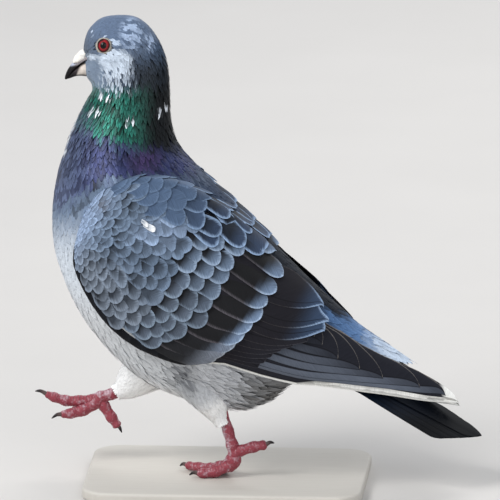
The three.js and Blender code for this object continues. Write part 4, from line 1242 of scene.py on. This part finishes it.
beak_horn = horn("worn bill horn", 0.42, 900.0, (1.0, 0.4, 0.4))
u, v = around(0, len(BILL_UPPER) - 1, 70, 40)
rings = bill_form(BILL_UPPER, u, v, UPPER_RIDGE)
rise = np.sin(v)
tone = mixed(linear("#8b8588"), linear("#aeb3c4"), soft(u, 1.6, 2.2) * soft(rise, -0.1, 0.5))
tone = mixed(tone, linear("#151214"), soft(u - 0.9 * rise, 2.2, 2.8))
tone = mixed(tone, linear("#080708"), soft(u, 3.3, 4.2))
# Painted shade along the gape, on the upper half's lower edge.
tone = mixed(tone, linear("#1e1719"), (1 - soft(rise, -0.75, -0.3)) * soft(u, 0.2, 0.8))
new_piece("bill_upper_horn", tube_mesh("bill_upper_horn", rings, tone), beak_horn, "horn", "bill_upper")
u, v = around(0, len(BILL_LOWER) - 1, 60, 40)
rings = bill_form(BILL_LOWER, u, v, LOWER_RIDGE)
rise = np.sin(v)
tone = mixed(linear("#c9bfb6"), linear("#2c2528"), soft(u + 0.5 * rise, 1.7, 2.4))
tone = mixed(tone, linear("#100e0f"), soft(u, 2.8, 3.5))
# Darker along the gape, as painted shade, and along the lower half's underside.
tone = mixed(tone, linear("#2b2426"), np.maximum(1 - soft(rise, -0.8, -0.45), soft(rise, 0.55, 0.85)) * 0.9)
new_piece("bill_lower_horn", tube_mesh("bill_lower_horn", rings, tone), beak_horn, "horn", "bill_lower")

# ------------------------------------------------------------------ cere
# Two soft swellings over the nostrils, chalky white with powder from the feathers. They overhang the bill
# at the front and sides, and the nostril opens as a slit under each.
CERE_PLACE = np.array([1.8, -66.3, 232.4])
CERE_HALF = np.array([2.5, 5.2, 2.6])
CERE_TILT = math.radians(38)
CERE_COLOURS = ("#e8e4dd", "#a98f84", "#3b3133")     # powdered top, flesh beneath, painted shade of the nostril slit


def lobe(u, v):
    """A place on the left swelling: an egg, fuller behind, with low wrinkles, turned down along the bill.
    u is the angle from its front end and v the angle round it."""
    wrinkle = 1 + 0.025 * np.sin(9 * u + 2 * np.sin(3 * v)) + 0.02 * np.sin(5 * v + 3 * u)
    full = np.sin(u) * (1 - 0.14 * np.cos(u)) * wrinkle
    x, y, z = full * np.cos(v), -np.cos(u), full * np.sin(v)
    z = np.where(z < 0, z * 0.85, z)
    x, y, z = x * CERE_HALF[0], y * CERE_HALF[1], z * CERE_HALF[2]
    return np.stack([x, y * np.cos(CERE_TILT) - z * np.sin(CERE_TILT),
                     y * np.sin(CERE_TILT) + z * np.cos(CERE_TILT)], -1) + CERE_PLACE


u, v = around(0.03, np.pi - 0.03, 30, 36)
left = lobe(u, v)
powder, under, nostril_shade = (linear(colour) for colour in CERE_COLOURS)
tone = mixed(powder, under, soft(-np.sin(v), 0.4, 0.95) * 0.7)
# The nostril slit under the front is painted as shade.
tone = mixed(tone, nostril_shade, (1 - soft(u, 0.25, 0.8)) * soft(-np.sin(v), 0.1, 0.6))
cere_points, cere_faces = flesh([(left, True), (left * [-1, 1, 1], False)])
# Skin under powder of worn down: nearly white and quite matt, with a grain that softens its wrinkles.
chalk = horn("chalky cere skin", 0.85, 700.0, (1.0, 1.0, 1.0))
mesh = new_mesh("cere_lobes", cere_points, cere_faces,
                [("Tone", "FLOAT_COLOR", np.tile(tone.reshape(-1, 3), (2, 1)))])
new_piece("cere_lobes", mesh, chalk, "cere", "cere")

# ------------------------------------------------------------------ eyes and lids
# A wet ball with a red-orange iris, darker at its rim, round a black pupil. The lids are a bare fleshy ring
# of fine cream beads that holds the ball, tilted a little forward and up with the side of the head.
GAZE_FORWARD = math.radians(5)
GAZE_UP = math.radians(16)
PUPIL = 1.85                         # radii on the ball
IRIS = 3.45
IRIS_COLOURS = ("#9c2f2c", "#8e1f25", "#2c0c0f")     # by the pupil, in the middle and at the rim
CORNEA = 0.3                         # how far the clear front bulges
CORNEA_REACH = 0.45
# The lids' section as a loop: radius from the gaze line and height along it from the ball's middle.
LID_PROFILE = np.array([[3.3, 3.45], [3.33, 3.7], [3.55, 3.85], [3.95, 3.6], [4.5, 3.1], [5.1, 2.4],
                        [5.1, 1.8], [4.3, 1.5], [3.5, 2.6]])
APERTURE = 0.93                      # width of the ring and iris for their height
gaze = np.array([math.cos(GAZE_FORWARD) * math.cos(GAZE_UP), -math.sin(GAZE_FORWARD) * math.cos(GAZE_UP),
                 math.sin(GAZE_UP)])
beside = np.cross([0, 0, 1.0], gaze)
beside /= np.linalg.norm(beside)
above = np.cross(gaze, beside)


def about_gaze(radius, height, angle):
    """Places at a radius from the gaze line, a height along it from the ball's middle, and an angle."""
    turned = np.cos(angle)[..., None] * above + APERTURE * np.sin(angle)[..., None] * beside
    return EYE + radius[..., None] * turned + height[..., None] * gaze


u, v = np.meshgrid(np.concatenate([np.linspace(0.02, 0.85, 40), np.linspace(0.9, np.pi - 0.05, 24)]),
                   np.linspace(0, 2 * np.pi, 64, endpoint=False), indexing="ij")
ball_radius = EYE_RADIUS + CORNEA * np.exp(-(u / CORNEA_REACH) ** 2) - 0.08
ball = about_gaze(ball_radius * np.sin(u), ball_radius * np.cos(u), v)
# The iris has rays of a lighter and a darker red, and a dark rim of its own that is wider above in front
# than behind, where the widening is painted shade of the lid.
out = EYE_RADIUS * np.sin(u) * np.where(u < np.pi / 2, 1, 9)
rays = 0.12 * np.sin(31 * v + 3 * np.sin(5 * v)) * soft(out, PUPIL, 2.2)
inner, outer, rim = (linear(colour) for colour in IRIS_COLOURS)
tone = mixed(inner, outer, soft(out + rays, 1.7, 2.3))
tone = mixed(tone, rim, soft(out + 2 * rays - 0.5 * np.cos(v) * np.cos(v / 2), 2.3, IRIS))
tone = mixed(tone, linear("#070506"), 1 - soft(out, PUPIL - 0.12, PUPIL + 0.12))
tone = mixed(tone, linear("#120b0b"), soft(out, IRIS - 0.1, IRIS + 0.1))
# A film of tears over the ball: a sharp clear coat that gives a small bright glint on a deep colour.
wet, tree, shader = finish("wet eye", Roughness=0.6, Specular_IOR_Level=0.1, Coat_Weight=0.28,
                           Coat_Roughness=0.03)
dress(tree, shader, carried(tree, "Tone"))
lid_skin = horn("bare beaded lid skin", 0.7, 1500.0, (1.0, 1.0, 1.0))
lid_v, lid_u = np.meshgrid(np.linspace(0, 2 * np.pi, 96, endpoint=False),
                           np.linspace(0, len(LID_PROFILE), 36, endpoint=False), indexing="ij")
looped = np.concatenate([LID_PROFILE[-1:], LID_PROFILE, LID_PROFILE[:2]])
section = blended(looped, lid_u + 1)
beads = 0.1 * np.sin(26 * lid_v) * np.sin(1.6 * lid_u) * soft(section[..., 0], 3.5, 3.8)
lids = about_gaze(section[..., 0] + beads, section[..., 1] + beads, lid_v)
uneven = 0.12 * np.sin(3 * lid_v + 1) + 0.08 * np.sin(7 * lid_v)
# The lid is dark next to the ball: painted shade where it meets the eye.
lid_tone = mixed(linear("#2f2321"), linear("#a7a196"), soft(section[..., 0] + 0.6 * uneven, 3.5, 3.95))
lid_tone = mixed(lid_tone, linear("#79808b"), soft(section[..., 0] - 2 * uneven, 4.3, 4.9))
for side, sign in (("left", 1), ("right", -1)):
    mesh = tube_mesh(f"{side}_eyeball", ball * [sign, 1, 1], tone, mirrored=sign < 0)
    new_piece(f"{side}_eyeball", mesh, wet, "eye", f"eye_{side}")
    mesh = tube_mesh(f"{side}_lids", lids * [sign, 1, 1], lid_tone, mirrored=sign > 0, hoop=True)
    new_piece(f"{side}_lids", mesh, lid_skin, "cere")

# ------------------------------------------------------------------ leg feathers
# White, soft and loose feathers clothe the thighs like trousers and end as a cuff over the bare shank.
CUFFS = {"left": [14, 13.8, 28.8, 3.8], "right": [-18, -52.6, 42.8, 4.2]}     # a last row for each thigh
LEG_APART = (1.15, -0.1)             # spacing at the hip, and how it changes with each row
LEG_LONG = (8.5, -0.6)               # a feather's length, likewise
CUFF_ROOM = (1.4, 6.0)               # the longest at the heel, row 3, and how much more a row above it
WHITE_FROM = {"left": (0.6, 1.2), "right": (0.0, 0.8)}      # the rows over which the thigh turns white
trousers = []
for side, rows in THIGHS.items():
    rows = np.concatenate([rows, [CUFFS[side]]])
    leg = lambda u, v, rows=rows: limb_form(rows, u, v)
    u, v = scattered(leg, (0.1, 2.85), (0, 2 * np.pi), lambda u: LEG_APART[0] + LEG_APART[1] * u, seed=21)
    luck = np.random.default_rng(22).random((5, len(u)))
    long = (LEG_LONG[0] + LEG_LONG[1] * u) * (0.8 + 0.4 * luck[0])
    long = np.minimum(long, CUFF_ROOM[0] + CUFF_ROOM[1] * (3 - u))
    path = walk(leg, u, v, long, (luck[2] - 0.5) * 0.6, short)
    height = -0.9 * (1 - short ** 0.75) + (luck[3] - 0.5)[:, None] * 0.4 * short
    shape = vane_shape(short, np.full(len(u), 0.9))
    part = vanes(leg, *path, short, long, 0.85 * (0.8 + 0.4 * luck[1]), shape, height, crown=0.1, thick=0.08)
    white = linear("#f2f2f1") * (0.94 + 0.12 * luck[4][:, None])
    tone = mixed(markings(part["points"][:, -2, 1], luck[4]), white, soft(u, *WHITE_FROM[side]))
    # Their roots are a little darker: painted shade under the feathers over them.
    part["tone"] = tone[:, None, None] * (0.88 + 0.12 * soft(short, 0.3, 0.8)[:, None, None])
    part["edge"] = (tone * 1.03)[:, None, None]
    part["fringe"] = np.full(len(u), 0.6)
    part["root"] = np.stack([v / (2 * np.pi) % 1 * 0.48 + (0.01 if side == "left" else 0.51), u / 3.2], 1)
    part["patch"] = PATCH
    trousers.append(part)
new_piece("leg_feathers", coat_mesh("leg_feathers", trousers, 23), vane, "body_plumage")

# ------------------------------------------------------------------ shanks and toes
# Bare legs covered in scales: wide plates down the front of the shank and the tops of the toes, and small
# round scales and pads beneath. The skin is raspberry red, dull and whitish on the worn plates.
SHANK_RADII = [2.5, 3.0, 3.5, 3.0]
TOE_RADII = [3.1, 2.9, 2.2]
# Rows of a pad under the joint of the toes: its middle (x, y, z) and its radius.
FOOT_PADS = {"left": [[14, 16.2, 19, 3.4], [14, 15.8, 14.6, 4.3], [12.6, 12.6, 11.2, 3.8]],
             "right": [[-18, -56.6, 41, 3.5], [-18, -60.4, 38.6, 4.2], [-17.4, -64, 36.6, 3.4]]}
CLAW_RADII = [1.3, 0.95, 0.4]
CLAW_COLOURS = ("#5a4a48", "#1f1a1b")      # at the root and at the point
SKIN_COLOURS = ("#8e3542", "#cdbdc6", "#5f2430")       # flesh, worn plates, and painted shade in the creases
CLAW_ARCH = 0.9
CLAW_SHARE = 0.8                     # how much of the way to the claw's far end it reaches
PLATE = 1.45                         # length of a plate on the top of a toe
PEBBLE = 1.1                         # length of a small scale beneath
PEBBLES_ROUND = 9
JOINT = 6.2                          # length of a toe's bone, which swells between the joints
# Places (x, y, z): four down each shank, and for each toe its root, joint and end, and its claw's far end.
LEGS = {
    "left": {
        "shank": [[14, 9, 47], [14, 14.2, 28.5], [14, 17.0, 18], [14, 16.4, 14]],
        "inner": [[13.4, 15.4, 13.6], [5.2, 10.8, 9.4], [-3.6, 6.6, 8.6], [-7.8, 4.6, 7.4]],
        "middle": [[14, 15.4, 13.6], [8.2, 3.6, 9.2], [-0.4, -10.6, 8.7], [-2.6, -14.6, 7.5]],
        "outer": [[14.6, 15.4, 13.4], [16.6, 6, 9.3], [17.6, -3.4, 8.6], [18.2, -8.2, 7.4]],
        "hind": [[14, 16.4, 19.4], [15.5, 27.6, 23.3], [16.2, 34.6, 24.7], [16.9, 39.4, 26]],
    },
    "right": {
        "shank": [[-18, -37, 49], [-18, -50, 43.6], [-18, -58.6, 40.6], [-18, -61, 39.4]],
        "inner": [[-17.4, -59.4, 38.4], [-13, -69, 34.1], [-8.6, -78.4, 33.4], [-6.8, -84.4, 31]],
        "middle": [[-18, -59.8, 39.6], [-16.3, -75, 39.2], [-14.4, -87.2, 43.4], [-13.8, -94, 45.2]],
        "outer": [[-18.4, -59.4, 38.4], [-23.8, -67.6, 32.2], [-26.6, -74.6, 31], [-27.8, -80.2, 29]],
        "hind": [[-18, -57.6, 39.4], [-17.1, -51.8, 30.6], [-16.4, -47.8, 25], [-15.9, -45.6, 21.4]],
    },
}
STEP_IN = 0.35                       # a limb's far end rounds off within this share of a row
RING_APART = 0.22                    # fine enough to carry the scales' relief
RELIEF = 0.32                        # height of plates and scales
SWELL = 0.24                         # of the pads between the joints


def rounded(share, flattest):
    """How wide a closing end is: a quarter circle over the share of the way to its tip, never quite shut."""
    return np.sqrt(1 - np.clip(share, 0, flattest) ** 2)[..., None]


def scaly(rows, front, round_root=False, count=36):
    """Rings of a scaly limb and how deep each point lies in a crease. Along the side that faces `front` the
    plates follow each other as a sawtooth, and elsewhere small scales are staggered bumps."""
    rows = np.array(rows, float)
    last = len(rows) - 1
    length = np.linalg.norm(np.diff(rows[:, :3], axis=0), axis=1).sum()
    u, v = around(0, last, int(length / RING_APART), count)
    place, _, _, normal = surface(lambda u, v: limb_form(rows, u, v), u, v)
    middle = blended(rows, u)[..., :3]
    along = u / last * length
    facing = soft((normal * front).sum(-1), 0.1, 0.5)
    tooth = along / PLATE % 1
    plates = np.minimum(tooth / 0.25, 1) * (1 - 0.5 * tooth)
    stagger = np.pi / 2 * np.floor(along / PEBBLE)
    pebbles = np.abs(np.sin(np.pi * along / PEBBLE)) * np.abs(np.sin(PEBBLES_ROUND / 2 * v + stagger))
    bump = plates * facing + (0.4 + 0.6 * pebbles ** 0.6) * (1 - facing)
    swell = SWELL * np.cos(2 * np.pi * along / JOINT)
    to_end = np.minimum(u, last - u) if round_root else last - u
    outer = place + normal * (RELIEF * (bump - 0.6) - swell)[..., None]
    return middle + (outer - middle) * rounded(1 - to_end / STEP_IN, 0.985), 1 - bump, facing


# Bare scaled skin: a dull satin red that turns whitish where plates are worn, and darker in the creases as
# painted shade.
flesh_red, tree, shader = finish("scaly leg skin", Roughness=0.55)
flesh_colour, worn_colour, crease_shade_colour = (rgba(colour) for colour in SKIN_COLOURS)
worn = weighed(tree, carried(tree, "Front", "Fac"), 0.2, speckled(tree, 420.0, 3.0, Roughness=0.65))
skin_red = tinted(tree, ranged(tree, worn, (0.54, 0.82), 0.0, 0.7), flesh_colour, worn_colour)
# Painted shade: the deeper a point lies in a crease, the darker.
deep = ranged(tree, carried(tree, "Crease", "Fac"), (0.3, 0.9), 0.0, 0.85)
dress(tree, shader, tinted(tree, deep, skin_red, crease_shade_colour), speckled(tree, 2200.0, 2.0), 0.25, 0.0002)
claw_horn = horn("dark claw horn", 0.35, 900.0, (1.0, 1.0, 1.0))


def limb_piece(name, rows, front, *nodes, round_root=False, pale=1.0):
    """A scaly limb piece that stands for its node, if it has one. pale is how worn its plates are."""
    rings, creases, facing = scaly(rows, front, round_root)
    layers = [("Crease", "FLOAT", creases.ravel()), ("Front", "FLOAT", facing.ravel() * pale)]
    new_piece(name, tube_mesh(name, rings, attributes=layers), flesh_red, "scaly_skin", *nodes)


for side, leg in LEGS.items():
    shank = np.concatenate([leg["shank"], np.array(SHANK_RADII)[:, None]], 1)
    before = [0, -1, 0.1] if side == "left" else [0, -0.4, 1]
    limb_piece(f"{side}_shank", shank, before, f"tarsus_{side}")
    limb_piece(f"{side}_foot_pad", FOOT_PADS[side], [0, 0, 1], round_root=True, pale=0.6)
    for toe in ("inner", "middle", "outer", "hind"):
        joints = np.array(leg[toe], float)
        limb_piece(f"{side}_toe_{toe}", np.concatenate([joints[:3], np.array(TOE_RADII)[:, None]], 1),
                   [0, 0, 1], f"toe_{side}_{toe}", pale=0.3)
        root = joints[2] + (joints[1] - joints[2]) / np.linalg.norm(joints[1] - joints[2])
        end = joints[2] + (joints[3] - joints[2]) * CLAW_SHARE
        line = [root, (root + end) / 2 + [0, 0, CLAW_ARCH], end]
        rows = np.concatenate([line, np.array(CLAW_RADII)[:, None]], 1)
        u, v = around(0, 2, 24, 20)
        core = blended(rows, u)[..., :3]
        rings = core + (limb_form(rows, u, v) - core) * rounded((u - 1.3) / 0.7, 0.97)
        tone = mixed(linear(CLAW_COLOURS[0]), linear(CLAW_COLOURS[1]), soft(u, 0.5, 1.4))
        mesh = tube_mesh(f"{side}_claw_{toe}", rings, tone)
        new_piece(f"{side}_claw_{toe}", mesh, claw_horn, "horn", f"claw_{side}_{toe}")
